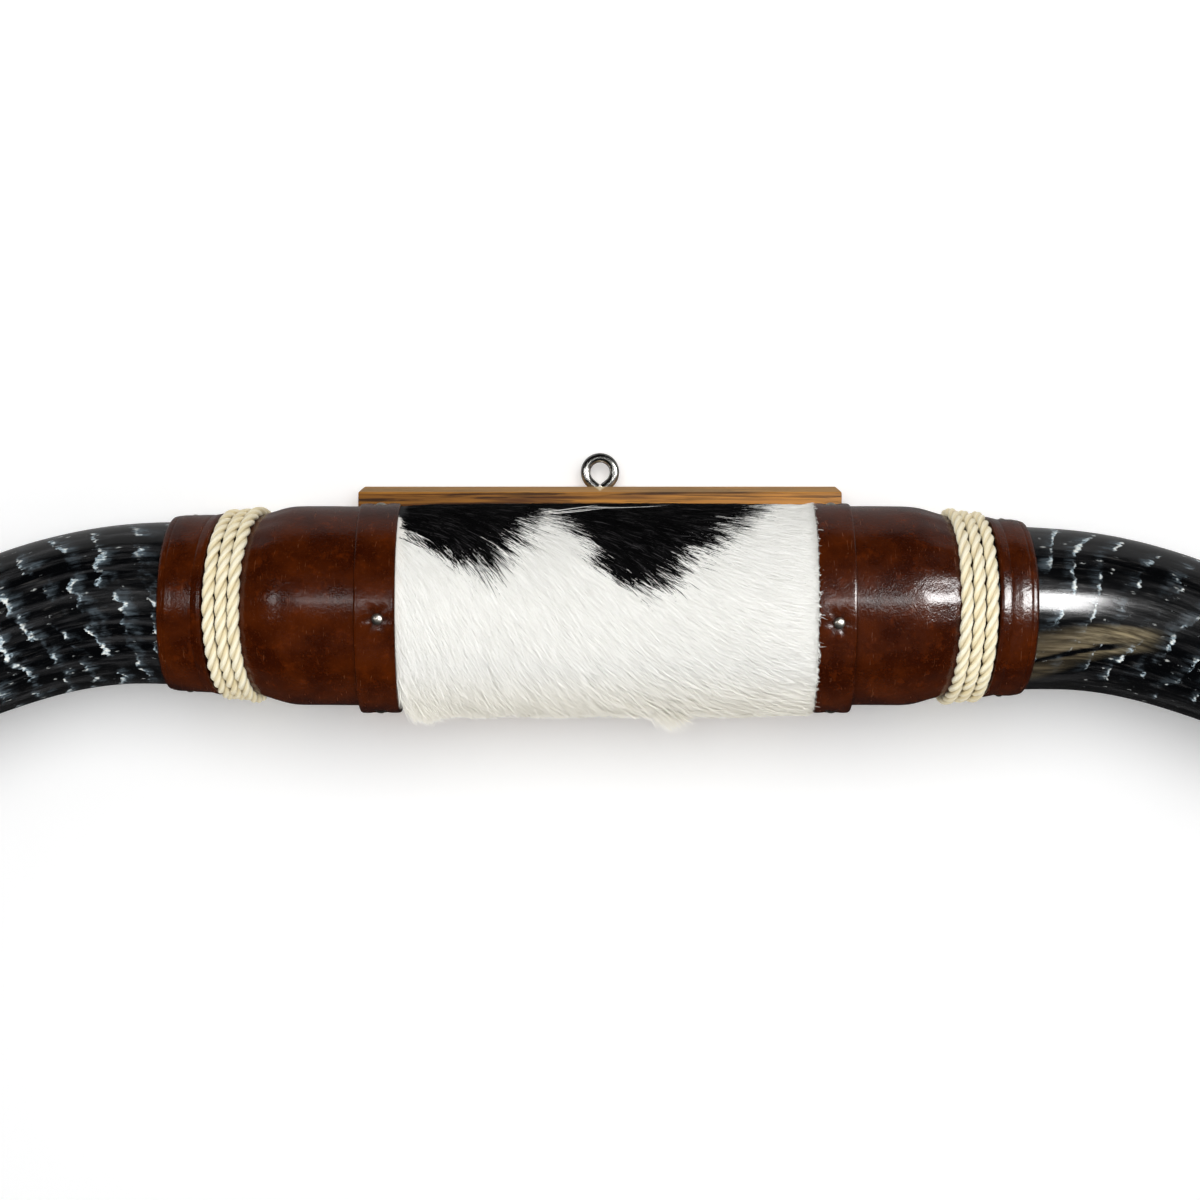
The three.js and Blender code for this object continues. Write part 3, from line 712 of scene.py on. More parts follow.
# Edges of the bands and collars: how far in from the edge, and how high
BAND_EDGE = ((0, -0.9), (0.3, -0.35), (1.0, 0), (2.6, 0.1))
DEEPEST_IN_BAND = 0.8 * BAND_THICKNESS
COLLAR_ROPE_EDGE = ((0, 2.3), (0.5, 3.2), (1.6, 3.6), (5.5, 2.9), (6.2, 2.6), (7.0, 2.95))
COLLAR_HORN_EDGE = ((9.0, 3.3), (4.6, 2.9), (3.8, 2.5), (3.2, 2.75), (1.0, 2.2), (0, 1.0))
# The shoulder of a sleeve: how far before the rope's middle, and how far it has fallen there
SHOULDER = ((60, 0), (30, 0), (24, 0.7), (18.5, 2.5), (14, 3.9), (8.2, 5), (7.6, 7.6), (7.2, 9))
SHOULDER_SOFTENING = np.linspace(-4, 4, 9)
CRISP_BEFORE_ROPE = (-14, -9)
GATHERS_BEFORE_ROPE = 19
GATHERS_REACH = 9
GATHER_WAVES = ((23, 0.16, 0, 0), (9, 0.2, 0, 1))
# Painted shade on the sleeve by the rope: where it darkens before the rope's middle, and how dark
SHADED_BEFORE_ROPE = (-11.4, -9.6)
SHADE_BY_ROPE = 0.5


def tack_spots(half):
    """Each tack's place along the half and its angle round it in degrees."""
    middle = (half.band_from + half.band_to) / 2
    spots = {"front": (half.tack_at, half.tack_angle)}
    return spots | {where: (middle, angle) for where, angle in TACK_ANGLES_ABOVE_AND_BELOW.items()}


def nail_spots(half):
    at = half.collar_end - NAIL_FROM_COLLAR_END
    return {where: (at, angle) for where, angle in NAIL_ANGLES.items()}


def dimples(straight, spots, reach, depth):
    """How far the leather is drawn in round each tack or nail."""
    growth = np.zeros(len(straight))
    angle = round_angle(straight)
    radius = np.hypot(straight[:, 1], straight[:, 2])
    for at, degrees in spots.values():
        aside = np.abs(straight[:, 0]) - at
        above = radius * np.sin(angle - math.radians(degrees))
        away = np.hypot(aside, above)
        facing = np.cos(angle - math.radians(degrees)) > 0
        near_edge = np.exp(-((away / reach - 1) ** 2) * FOLD_NARROWNESS)
        folds = FOLD_HEIGHT * np.cos(FOLD_COUNT * np.arctan2(above, aside)) * near_edge
        growth -= depth * facing * (np.exp(-((away / reach) ** 2)) + folds)
    return growth


def hand_made(straight, amount):
    """Gentle unevenness of hand-wrapped leather."""
    return amount * ripples(round_angle(straight), straight[:, 0], HAND_WAVES)


def sleeve_profile(half):
    start = half.hide_end + 2 * GAP
    stations = [(half.rope_at - before, fall) for before, fall in SHOULDER]
    at, fall = np.array([(start, 0), *stations, (half.neck_end, CORE_RADIUS - NECK_RADIUS)]).T
    places = np.arange(start, half.neck_end, LEATHER_STEP)
    soft = np.mean([np.interp(places + shift, at, fall) for shift in SHOULDER_SOFTENING], axis=0)
    near_rope = smooth_share(*CRISP_BEFORE_ROPE, places - half.rope_at)
    falls = soft * (1 - near_rope) + np.interp(places, at, fall) * near_rope
    outer = list(zip(places, SLEEVE_RADIUS - falls))
    outer.append((half.neck_end, NECK_RADIUS + GAP + SLEEVE_THICKNESS))
    inner = [(place, radius - SLEEVE_THICKNESS) for place, radius in outer]
    return outer + inner[::-1]


def sleeve(half, cutter):
    def relief(straight):
        from_gathers = half.rope_at - GATHERS_BEFORE_ROPE - np.abs(straight[:, 0])
        near_shoulder = np.exp(-((from_gathers / GATHERS_REACH) ** 2))
        gathers = ripples(round_angle(straight), straight[:, 0], GATHER_WAVES)
        outer = np.hypot(straight[:, 1], straight[:, 2]) > NECK_RADIUS + GAP + SLEEVE_THICKNESS / 2
        return grown(straight, outer * (hand_made(straight, UNEVENNESS["sleeve"]) + near_shoulder * gathers))

    whole = turned_mesh(f"{half.name}_sleeve_leather", half, sleeve_profile(half), LEATHER_SIDES, relief)
    mesh = cut_at_board(whole, cutter)
    # Painted shade on the leather just before the rope, noted for the finish
    middle, along = (rows[0] for rows in frames_at([half.sign * half.rope_at])[:2])
    past_rope = (corners_of(mesh) / MM - middle) @ along * half.sign
    painted_shade = smooth_share(*SHADED_BEFORE_ROPE, past_rope) * SHADE_BY_ROPE
    note(mesh, "painted_shade", np.column_stack([painted_shade, painted_shade, painted_shade]))
    return piece(mesh, leather, "leather", f"{half.name}_sleeve")


def band(half, cutter):
    inside = SLEEVE_RADIUS + GAP
    start, end = half.band_from, half.band_to
    outer = [(start + inset, BAND_RADIUS + rise) for inset, rise in BAND_EDGE]
    outer += [(end - inset, BAND_RADIUS + rise) for inset, rise in reversed(BAND_EDGE)]
    profile = [(start, inside), *dense(outer, LEATHER_STEP), (end, inside)]

    def relief(straight):
        outer_side = np.hypot(straight[:, 1], straight[:, 2]) > inside + BAND_THICKNESS / 2
        growth = hand_made(straight, UNEVENNESS["band"])
        growth += dimples(straight, tack_spots(half), *TACK_DIMPLE)
        growth -= BAND_SAG * np.sin(round_angle(straight))
        return grown(straight, outer_side * np.maximum(growth, -DEEPEST_IN_BAND))

    whole = turned_mesh(f"{half.name}_band_leather", half, profile, LEATHER_SIDES, relief)
    mesh = cut_at_board(whole, cutter)
    # Painted shade in the dimples round the tacks, noted for the finish
    straight = corners_of(mesh) / MM + np.array([0, AXIS_FROM_WALL, 0])
    painted_shade = np.minimum(-dimples(straight, tack_spots(half), *TACK_SHADE), 1)
    note(mesh, "painted_shade", np.column_stack([painted_shade, painted_shade, painted_shade]))
    return piece(mesh, leather, "leather", f"{half.name}_band")


def collar(half):
    start = half.neck_end + 2 * GAP
    end = half.collar_end
    first = float(horn_radius(half, start)) + GAP
    last = float(horn_radius(half, end)) + GAP
    length = end - start

    def at(distance, height):
        share = distance / length
        return start + distance, first + (last - first) * share + height

    outer = [at(inset, height) for inset, height in COLLAR_ROPE_EDGE]
    outer += [at(length - inset, height) for inset, height in COLLAR_HORN_EDGE]
    profile = [at(0, 0), *dense(outer, LEATHER_STEP), at(length, 0)]

    def relief(straight):
        height = np.hypot(straight[:, 1], straight[:, 2]) - horn_radius(half, np.abs(straight[:, 0]))
        growth = hand_made(straight, UNEVENNESS["collar"])
        growth += dimples(straight, nail_spots(half), *NAIL_DIMPLE)
        return grown(straight, (height > COLLAR_THICKNESS / 2) * growth)

    mesh = turned_mesh(f"{half.name}_collar_leather", half, profile, LEATHER_SIDES, relief)
    return piece(mesh, leather, "leather", f"{half.name}_collar")


# Tacks and nails

PIN_SIDES = 24
DOME_STOPS = 9
TACK_SUNK = {"front": 0.4, "top": 1.2, "bottom": 1.2}
NAIL_SUNK = 0.5


def pin(name, half, head, spot, radius, sunk):
    """A domed head on its shank, standing on the leather."""
    wide, dome = head["radius"], head["dome"]
    arc = [(dome * math.cos(t), wide * math.sin(t)) for t in np.linspace(0, math.pi / 2, DOME_STOPS)]
    shank = [(0.0, PIN_RADIUS), (PIN_RADIUS - PIN_LENGTH, PIN_RADIUS), (-PIN_LENGTH, 0)]
    mesh = mesh_of(f"{name}_steel", spun([*arc, *shank], PIN_SIDES))
    own = corners_of(mesh)
    place, degrees = spot[0] * half.sign, math.radians(spot[1])
    points, along, behind, up = (rows[0] for rows in frames_at([place]))
    outward = -math.cos(degrees) * behind + math.sin(degrees) * up
    across = np.cross(outward, along)
    foot = points + outward * (radius - sunk)
    move_corners(mesh, foot + own[:, :1] * outward + own[:, 1:2] * along + own[:, 2:] * across)
    return piece(mesh, nickel, "steel", name)


cutter = board_cutter()
leather_things = {}
for half in HALVES:
    leather_things[half.name] = [sleeve(half, cutter), band(half, cutter), collar(half)]
    for where, spot in tack_spots(half).items():
        radius = BAND_RADIUS - BAND_SAG * math.sin(math.radians(spot[1]))
        pin(f"{half.name}_band_tack_{where}", half, TACK, spot, radius, TACK_SUNK[where])
    for where, spot in nail_spots(half).items():
        radius = float(horn_radius(half, spot[0])) + GAP + COLLAR_THICKNESS
        pin(f"{half.name}_collar_nail_{where}", half, NAIL, spot, radius, NAIL_SUNK)


# Rope, three strands laid round one another

STRAND_COUNT = 3
STRAND_RADIUS = 1.86
STRAND_OFFSET = 1.48
STRAND_SIDES = 10
STRAND_STEP = 1.6
LAY_LENGTH = 24
TURN_RISE = (1.5, 0.4, 0.0)
# Unevenness along the strands: how strong, how far apart, and how each strand's differs from the last
LAY_SWAY = (0.16, 31, 2)
STRAND_SWELL = (0.05, 13, 1.7)
# How far the fibres' pattern moves on from strand to strand and from half to half
STRAND_PATTERN_SHIFT = 97.0
HALF_PATTERN_SHIFT = 300


def rope_path(half, turns):
    """Middle, outward and forward directions of the rope at an array of turns."""
    whole = np.floor(turns)
    shift = whole + smooth_share(1 - ROPE_CROSSOVER, 1, turns - whole) - (ROPE_TURNS - 1) / 2
    rise = np.interp(shift + (ROPE_TURNS - 1) / 2, range(ROPE_TURNS), TURN_RISE)
    points, along, behind, up = (rows[0] for rows in frames_at([half.sign * half.rope_at]))
    angle = np.pi - math.tau * turns
    outward = -np.cos(angle)[:, None] * behind + np.sin(angle)[:, None] * up
    middle = points + outward * (ROPE_LAY_RADIUS + rise)[:, None]
    middle = middle + along * (half.sign * shift * ROPE_PITCH)[:, None]
    return middle, outward, unit(np.gradient(middle, axis=0))


def uneven(distance, strand, amount, every, start):
    return amount * np.sin(distance / every + start * strand)


def rope(half):
    turns = ROPE_TURNS - ROPE_SHORT_OF_FULL
    length = turns * math.tau * ROPE_LAY_RADIUS
    distances = np.arange(0, length, STRAND_STEP)
    middle, outward, forward = rope_path(half, distances / length * turns)
    sideways = np.cross(forward, outward)
    profile = [(0, 0), *((distance, STRAND_RADIUS) for distance in distances), (distances[-1], 0)]
    joined = bmesh.new()
    for strand in range(STRAND_COUNT):
        mesh = mesh_of("strand", spun(profile, STRAND_SIDES))
        own = corners_of(mesh)
        pattern_shift = strand * STRAND_PATTERN_SHIFT + half.sign * HALF_PATTERN_SHIFT
        note(mesh, "strand", own + np.array([pattern_shift, 0, 0]))
        row = np.clip(np.round(own[:, 0] / STRAND_STEP).astype(int), 0, len(distances) - 1)
        turn = math.tau * (own[:, 0] / LAY_LENGTH + strand / STRAND_COUNT)
        turn = turn + uneven(own[:, 0], strand, *LAY_SWAY)
        thick = 1 + uneven(own[:, 0], strand, *STRAND_SWELL)
        own[:, 1:] *= thick[:, None]
        away = np.cos(turn)[:, None] * outward[row] + np.sin(turn)[:, None] * sideways[row]
        aside = np.cos(turn)[:, None] * sideways[row] - np.sin(turn)[:, None] * outward[row]
        move_corners(mesh, middle[row] + (STRAND_OFFSET + own[:, 1:2]) * away + own[:, 2:] * aside)
        joined.from_mesh(mesh)
        bpy.data.meshes.remove(mesh)
    bmesh.ops.recalc_face_normals(joined, faces=joined.faces)
    mesh = mesh_of(f"{half.name}_rope_strands", joined)
    return piece(mesh, rope_cream, "rope", f"{half.name}_rope", sharp=80)


ropes = {half.name: rope(half) for half in HALVES}


# Board and screw eye

BOARD_ROUNDING = 0.5
EYE_ARC_STATIONS = 60
EYE_STATIONS = 90
EYE_SIDES = 24


def board():
    bm = bmesh.new()
    bmesh.ops.create_cube(bm, size=1)
    bmesh.ops.scale(bm, vec=(BOARD_WIDTH, BOARD_THICKNESS, BOARD_TOP - BOARD_BOTTOM), verts=bm.verts)
    middle = (BOARD_TOP + BOARD_BOTTOM) / 2
    bmesh.ops.translate(bm, vec=(0, -BOARD_THICKNESS / 2, middle), verts=bm.verts)
    level = [edge for edge in bm.edges if abs(edge.verts[0].co.z - edge.verts[1].co.z) < LEVEL_WITHIN]
    bmesh.ops.bevel(
        bm, geom=level, offset=BOARD_CHAMFER, affect="EDGES", segments=1, profile=0.5, material=-1
    )
    bmesh.ops.bevel(
        bm, geom=bm.edges[:], offset=BOARD_ROUNDING, affect="EDGES", segments=3, profile=0.5, material=-1
    )
    bmesh.ops.recalc_face_normals(bm, faces=bm.faces)
    mesh = mesh_of("board_wood_plank", bm)
    move_corners(mesh, corners_of(mesh))
    return piece(mesh, board_wood, "board_wood", "back_board", sharp=50)


def eye_path():
    """The loop's wire in its own plane, from one foot up and over to the other."""
    turns = np.linspace(EYE_LEG_ANGLE, math.tau - EYE_LEG_ANGLE, EYE_ARC_STATIONS)
    arc = np.column_stack([EYE_RADIUS * np.sin(turns), -EYE_RADIUS * np.cos(turns)])
    fall = (arc[0, 0] - EYE_FOOT_SPREAD) * math.tan(EYE_LEG_ANGLE)
    foot = np.array([EYE_FOOT_SPREAD, arc[0, 1] - fall])
    points = np.vstack([foot, arc, foot * (-1, 1)])
    lengths = np.concatenate([[0], np.cumsum(np.linalg.norm(np.diff(points, axis=0), axis=1))])
    even = np.linspace(0, lengths[-1], EYE_STATIONS)
    return np.column_stack([np.interp(even, lengths, points[:, axis]) for axis in range(2)]), even


def screw_eye():
    path, distances = eye_path()
    forward = unit(np.gradient(path, axis=0))
    profile = [(0, 0), *((distance, EYE_WIRE_RADIUS) for distance in distances), (distances[-1], 0)]
    mesh = mesh_of("wire", spun(profile, EYE_SIDES))
    own = corners_of(mesh)
    step = distances[1]
    row = np.clip(np.round(own[:, 0] / step).astype(int), 0, EYE_STATIONS - 1)
    x = path[row, 0] - forward[row, 1] * own[:, 2]
    z = path[row, 1] + forward[row, 0] * own[:, 2] + EYE_HEIGHT
    move_corners(mesh, np.column_stack([x, own[:, 1] - BOARD_THICKNESS / 2, z]))
    joined = bmesh.new()
    joined.from_mesh(mesh)
    bpy.data.meshes.remove(mesh)
    tip = SHANK_TOP - SHANK_LENGTH
    shank = [(SHANK_TOP, 0), (SHANK_TOP, SHANK_RADIUS), (tip, SHANK_RADIUS / 2), (tip, 0)]
    mesh = mesh_of("shank", spun(shank, EYE_SIDES))
    own = corners_of(mesh)
    move_corners(mesh, np.column_stack([own[:, 1], own[:, 2] - BOARD_THICKNESS / 2, own[:, 0]]))
    joined.from_mesh(mesh)
    bpy.data.meshes.remove(mesh)
    bmesh.ops.recalc_face_normals(joined, faces=joined.faces)
    return piece(mesh_of("screw_eye_wire", joined), steel, "steel", "screw_eye", sharp=50)


board()
screw_eye()
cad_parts["wood_core"].data.materials.clear()
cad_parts["wood_core"].data.materials.append(core_wood)


# Hide: its skin, and hairs that lie along their fall

# Outlines of the black patches: place along the roll, and angle round it in degrees
PATCHES = [
    [(-42, 140), (-6, 140), (-6, 72), (-18, 64), (-42, 66)],
    [
        (-106, 140),
        (-30, 140),
        (-22, 90),
        (-24, 70),
        (-32, 47),
        (-44, 30),
        (-53, 18),
        (-65, 17),
        (-80, 26),
        (-92, 36),
        (-102, 58),
        (-106, 66),
    ],
    [
        (-16, 140),
        (84, 140),
        (88, 86),
        (86, 64),
        (74, 56),
        (69, 46),
        (66, 34),
        (52, 29),
        (46, 20),
        (38, 11),
        (27, 6),
        (18, 8),
        (8, 14),
        (-1, 20),
        (-3, 25),
        (4, 31),
        (-8, 38),
        (-16, 46),
        (-19, 58),
        (-20, 90),
    ],
]
HIDE_BACK_ANGLE = math.radians(133)
SKIN_SIDES = 180
SKIN_STEP = 2.0
HAIR_PIECES = 5
HAIR_SEED = 41
HAIR_LENGTH = 24.0
HAIR_WIDTH = 0.34
# Stops along a hair, as shares of its length, and its rise from the skin and its width there
HAIR_STOPS = np.array([0.0, 0.36, 0.7, 1.0])
HAIR_RISE = np.array([0.0, 0.7, 1.0, 0.92])
HAIR_TAPER = np.array([0.8, 1.0, 0.75, 0.0])
# The hair lies flatter above, between these angles in degrees
FLATTER_ABOVE = (10, 85)
FLATTENING = 0.6
# Clumps: their rows, and how they differ, as spreads or as the least and the most
CLUMP_COLUMNS = 150
CLUMP_ROWS = 112
ROOTS_FROM_LEFT_BAND = 0.6
ROOTS_SHORT_OF_BANDS = 2.5
HAIRS_IN_CLUMP = 7
CLUMP_LEAN = math.radians(7)
CLUMP_LENGTHS = (0.8, 1.15)
CLUMP_LIFTS = (0.6, 1.0)
CLUMP_SHADES = 0.1
CLUMP_STRAY = np.array([[4.5], [2.6]])
# Hairs in a clump, and how they differ
HAIR_SPREAD = 1.2
HAIR_LEAN = math.radians(4)
HAIR_LENGTHS = (0.7, 1.08)
SHORTEST_HAIR = 3.0
HAIR_CURL = 0.7
HAIR_LAYERS = (0.35, 1.0)
LAYER_CROWDING = 0.6
TIPS_DRAWN_IN = 0.7
HAIR_SHADE, HAIR_SHADES = 0.65, 0.14
SEEN_FROM_ROOT = (0.6, 1.0)
HAIR_ROLL = 0.3
HAIR_WIDTHS = (0.7, 1.2)
# Where hairs end at the bands, and the few that lie over the right one
ENDS_PAST_RIGHT_BAND = (-2.8, 0.0)
LONGER_OVER_BAND = (1, 6)
SHARE_OVER_BAND = 0.005
STEEPEST_TO_BAND = 0.05
OFF_LEFT_BAND = 0.2
RIGHT_BAND_MARGIN = 0.5
OFF_BAND_TOP = 0.35
# How deep the roots are, how far the tips pass the solid, and how much further below
ROOT_DEPTH = 0.2
TIPS_PAST_SOLID = 0.5
LOOSER_BELOW = 1.6
# Tufts: place, angle in degrees, spread and height
TUFTS = [(-98, -66, 12, 7.0), (-70, -78, 8, 2.5), (-30, -80, 9, 2.0), (26, -74, 7, 13.0), (60, -84, 9, 1.6)]
# Strands of white over the black: place and angle of each end, and how far it bows
STRANDS = [((-29, 62), (-1, 73), -1), ((-3, 70), (37, 73), -3), ((-24, 60), (6, 69), -1)]
HAIRS_IN_STRAND = 5
STRAND_SPREAD = 3
STRAND_TURN = 0.4
STRAND_LIFT = 0.8
STRAND_SEED = 7
# Margins of a hair's cell in the map, as shares of the cell
CELL_MARGIN_ACROSS = 0.2
CELL_MARGIN_ALONG = 0.1


def patch_tone(places, degrees):
    """1 inside a black patch and 0 outside, at places and angles round the roll."""
    tone = np.zeros(len(places), dtype=bool)
    for outline in PATCHES:
        inside = np.zeros(len(places), dtype=bool)
        for (x1, y1), (x2, y2) in zip(outline, outline[1:] + outline[:1]):
            if y1 == y2:
                continue
            crossing = (y1 > degrees) != (y2 > degrees)
            inside ^= crossing & (places < (x2 - x1) * (degrees - y1) / (y2 - y1) + x1)
        tone |= inside
    return tone.astype(float)


def hide_share(places):
    return np.clip((places + LEFT.band_from) / (LEFT.band_from + RIGHT.band_from), 0, 1)


def hair_fall(places, angles):
    """The way the hair lies: steeply down on the left, level on the right and flatter above."""
    fall = HAIR_FALL_LEFT + (HAIR_FALL_RIGHT - HAIR_FALL_LEFT) * hide_share(places) ** HAIR_FALL_CURVE
    return np.radians(fall * (1 - FLATTENING * smooth_share(*FLATTER_ABOVE, np.degrees(angles))))


def hair_radius(places, angles):
    crown = np.sqrt(np.sin(np.pi * hide_share(places)))
    return HAIR_EDGE_RADIUS + (HAIR_RADIUS - HAIR_EDGE_RADIUS) * crown - HAIR_SAG * np.sin(angles)


def skin(cutter):
    inside = CORE_RADIUS + GAP
    start, end = -LEFT.hide_end, RIGHT.hide_end
    profile = [(start, inside), *dense([(start, SKIN_RADIUS), (end, SKIN_RADIUS)], SKIN_STEP), (end, inside)]
    mesh = cut_at_board(turned_mesh("hide_skin", RIGHT, profile, SKIN_SIDES), cutter)
    corners = corners_of(mesh) / MM
    degrees = np.degrees(np.arctan2(corners[:, 2], -corners[:, 1] - AXIS_FROM_WALL))
    tone = patch_tone(corners[:, 0], degrees)
    note(mesh, "hair", np.column_stack([tone, tone, tone]))
    return piece(mesh, hide_skin, "hide", "cowhide")


def tuft_lift(places, angles):
    """How far the tips stand off where the hair gathers in tufts below."""
    lift = np.zeros(len(places))
    for place, degrees, spread, height in TUFTS:
        away = np.hypot(places - place, (angles - math.radians(degrees)) * HAIR_RADIUS)
        lift += height * np.exp(-((away / spread) ** 2))
    return lift


def clump_roots(draw):
    """Roots of the clumps, in jittered rows over the hide from its top edge round to its lower one."""
    column, row = np.meshgrid(np.arange(CLUMP_COLUMNS), np.arange(CLUMP_ROWS))
    count = column.size
    across = (column.ravel() + draw.random(count)) / CLUMP_COLUMNS
    down = (row.ravel() + draw.random(count)) / CLUMP_ROWS
    width = LEFT.band_from + RIGHT.band_from - ROOTS_SHORT_OF_BANDS
    places = -LEFT.band_from + ROOTS_FROM_LEFT_BAND + across * width
    return places, HIDE_BACK_ANGLE - down * 2 * HIDE_BACK_ANGLE


def hair_heights(places, angles, layer, tufts):
    """Radius of each hair at its stops: up to its layer, out at the tufts and over the right band."""
    full = hair_radius(places, angles) + TIPS_PAST_SOLID + LOOSER_BELOW * np.maximum(-np.sin(angles), 0)
    radius = SKIN_RADIUS - ROOT_DEPTH + (full - SKIN_RADIUS) * layer[:, None] * HAIR_RISE
    radius = radius + tufts[:, None] * HAIR_STOPS**2
    band_top = BAND_RADIUS + OFF_BAND_TOP - BAND_SAG * np.sin(angles)
    over_band = places > RIGHT.band_from - RIGHT_BAND_MARGIN
    return np.where(over_band, np.maximum(radius, band_top), radius)


def hair_tone(places, angles, fall, length, stray, draw):
    """Each hair's tone, from the patches at a place near its tip."""
    seen_at = length * draw.uniform(*SEEN_FROM_ROOT, len(places)) + stray[0]
    tone_place = places + seen_at * np.cos(fall) + stray[1] * np.sin(fall)
    down = seen_at * np.sin(fall) - stray[1] * np.cos(fall)
    return patch_tone(tone_place, np.degrees(angles - down / HAIR_RADIUS))


def hairs(draw):
    """Arrays of each hair's path, [hair, stop, (place, radius, angle)], and its tone and shade."""
    places, angles = clump_roots(draw)
    count = len(places)
    lean = draw.normal(0, CLUMP_LEAN, count)
    length = HAIR_LENGTH * draw.uniform(*CLUMP_LENGTHS, count)
    lift = draw.uniform(*CLUMP_LIFTS, count)
    # Each clump is darker or lighter at random, partly as painted shade for the grey streaks between locks
    shade = draw.normal(0, CLUMP_SHADES, count)
    stray = draw.normal(0, 1, (2, count)) * CLUMP_STRAY
    places, angles, lean, length, lift, shade = (
        np.repeat(values, HAIRS_IN_CLUMP) for values in (places, angles, lean, length, lift, shade)
    )
    stray = np.repeat(stray, HAIRS_IN_CLUMP, axis=1)
    total = len(places)
    offset = draw.normal(0, HAIR_SPREAD, (2, total))
    fall = hair_fall(places, angles) + lean + draw.normal(0, HAIR_LEAN, total)
    length = length * draw.uniform(*HAIR_LENGTHS, total)
    past_band = draw.uniform(*ENDS_PAST_RIGHT_BAND, total)
    past_band += draw.uniform(*LONGER_OVER_BAND, total) * (draw.random(total) < SHARE_OVER_BAND)
    room = (RIGHT.band_from + past_band - places) / np.maximum(np.cos(fall), STEEPEST_TO_BAND)
    length = np.maximum(np.minimum(length, room), SHORTEST_HAIR)
    curl = draw.normal(0, HAIR_CURL, total)
    layer = lift * draw.uniform(*HAIR_LAYERS, total) ** LAYER_CROWDING
    drawn_in = 1 - TIPS_DRAWN_IN * HAIR_STOPS
    bow = curl[:, None] * np.sin(np.pi * HAIR_STOPS)
    forward = length[:, None] * HAIR_STOPS
    cos, sin = np.cos(fall)[:, None], np.sin(fall)[:, None]
    path_places = places[:, None] + offset[0][:, None] * drawn_in + forward * cos + bow * sin
    path_places = np.maximum(path_places, -LEFT.band_from + OFF_LEFT_BAND)
    down = offset[1][:, None] * drawn_in + forward * sin - bow * cos
    path_angles = angles[:, None] - down / HAIR_RADIUS
    radius = hair_heights(path_places, path_angles, layer, tuft_lift(places, angles))
    tone = hair_tone(places, angles, fall, length, stray, draw)
    shade = np.clip(HAIR_SHADE + shade + draw.normal(0, HAIR_SHADES, total), 0, 1)
    return np.stack([path_places, radius, path_angles], axis=2), tone, shade


def strand_hairs(draw):
    """Paths of the few long white hairs that lie over the black at the top."""
    paths = []
    for (first, first_degrees), (last, last_degrees), bow in STRANDS:
        for shift, turn in draw.normal(0, 1, (HAIRS_IN_STRAND, 2)):
            places = first + shift * STRAND_SPREAD + (last - first) * HAIR_STOPS
            degrees = first_degrees + (last_degrees - first_degrees) * HAIR_STOPS
            angles = np.radians(degrees + bow * np.sin(np.pi * HAIR_STOPS) + turn * STRAND_TURN)
            paths.append(np.column_stack([places, hair_radius(places, angles) + STRAND_LIFT, angles]))
    return np.array(paths)


def hair_piece(name, paths, tone, shade, draw):
    """One joined mesh of tapered ribbons, three faces to a hair."""
    count, stops = paths.shape[:2]
    points = on_roll(paths[..., 0].ravel(), paths[..., 1].ravel(), paths[..., 2].ravel())
    points = points.reshape(count, stops, 3) - np.array([0, AXIS_FROM_WALL, 0])
    forward = np.gradient(points, axis=1)
    forward /= np.linalg.norm(forward, axis=2, keepdims=True)
    angle = paths[..., 2]
    outward = np.stack([np.zeros_like(angle), -np.cos(angle), np.sin(angle)], axis=2)
    aside = np.cross(forward, outward)
    aside /= np.linalg.norm(aside, axis=2, keepdims=True)
    roll = draw.normal(0, HAIR_ROLL, count)[:, None, None]
    wide = draw.uniform(*HAIR_WIDTHS, count)[:, None, None] * HAIR_WIDTH / 2
    half_width = wide * HAIR_TAPER[None, :, None]
    edge = (np.cos(roll) * aside + np.sin(roll) * outward) * half_width
    ribbon = np.stack([points - edge, points + edge], axis=2).reshape(count, stops * 2, 3)[:, :-1]
    corners = ribbon.reshape(-1, 3)
    each = ribbon.shape[1]
    first = np.arange(count)[:, None] * each
    quads = np.concatenate([first + np.array([0, 1, 3, 2]), first + np.array([2, 3, 5, 4])])
    tips = first + np.array([4, 5, 6])
    mesh = bpy.data.meshes.new(name)
    mesh.from_pydata((corners * MM).tolist(), [], quads.tolist() + tips.tolist())
    along = np.repeat(HAIR_STOPS, 2)[:-1]
    notes = [np.repeat(tone, each), np.repeat(shade, each), np.tile(along, count)]
    note(mesh, "hair", np.column_stack(notes))
    lay_out(mesh, count, each, along)
    return piece(mesh, hair_coat, "hide", sharp=180)


def lay_out(mesh, count, each, along):
    """A map for the hairs in which each has a small cell of its own."""
    side = math.ceil(math.sqrt(count))
    corner = np.empty(len(mesh.loops), dtype=np.int32)
    mesh.loops.foreach_get("vertex_index", corner)
    hair, stop = corner // each, corner % each
    u = (hair % side + CELL_MARGIN_ACROSS + (1 - 2 * CELL_MARGIN_ACROSS) * (stop % 2)) / side
    v = (hair // side + CELL_MARGIN_ALONG + (1 - 2 * CELL_MARGIN_ALONG) * along[stop]) / side
    flat = mesh.uv_layers.new(name="OFBake")
    flat.data.foreach_set("uv", np.column_stack([u, v]).astype(np.float32).ravel())


hide = skin(cutter)
draw = np.random.default_rng(HAIR_SEED)
paths, tone, shade = hairs(draw)
strands = strand_hairs(np.random.default_rng(STRAND_SEED))
paths = np.concatenate([paths, strands])
tone = np.concatenate([tone, np.zeros(len(strands))])
shade = np.concatenate([shade, np.ones(len(strands))])
order = np.argsort(paths[:, 0, 0], kind="stable")
hair_pieces = [
    hair_piece(f"hide_hair_{number}", paths[part], tone[part], shade[part], draw)
    for number, part in enumerate(np.array_split(order, HAIR_PIECES), start=1)
]
bpy.data.objects.remove(cutter)


# Stage: a white wall that the mount hangs on, seen only from the front, and soft lights

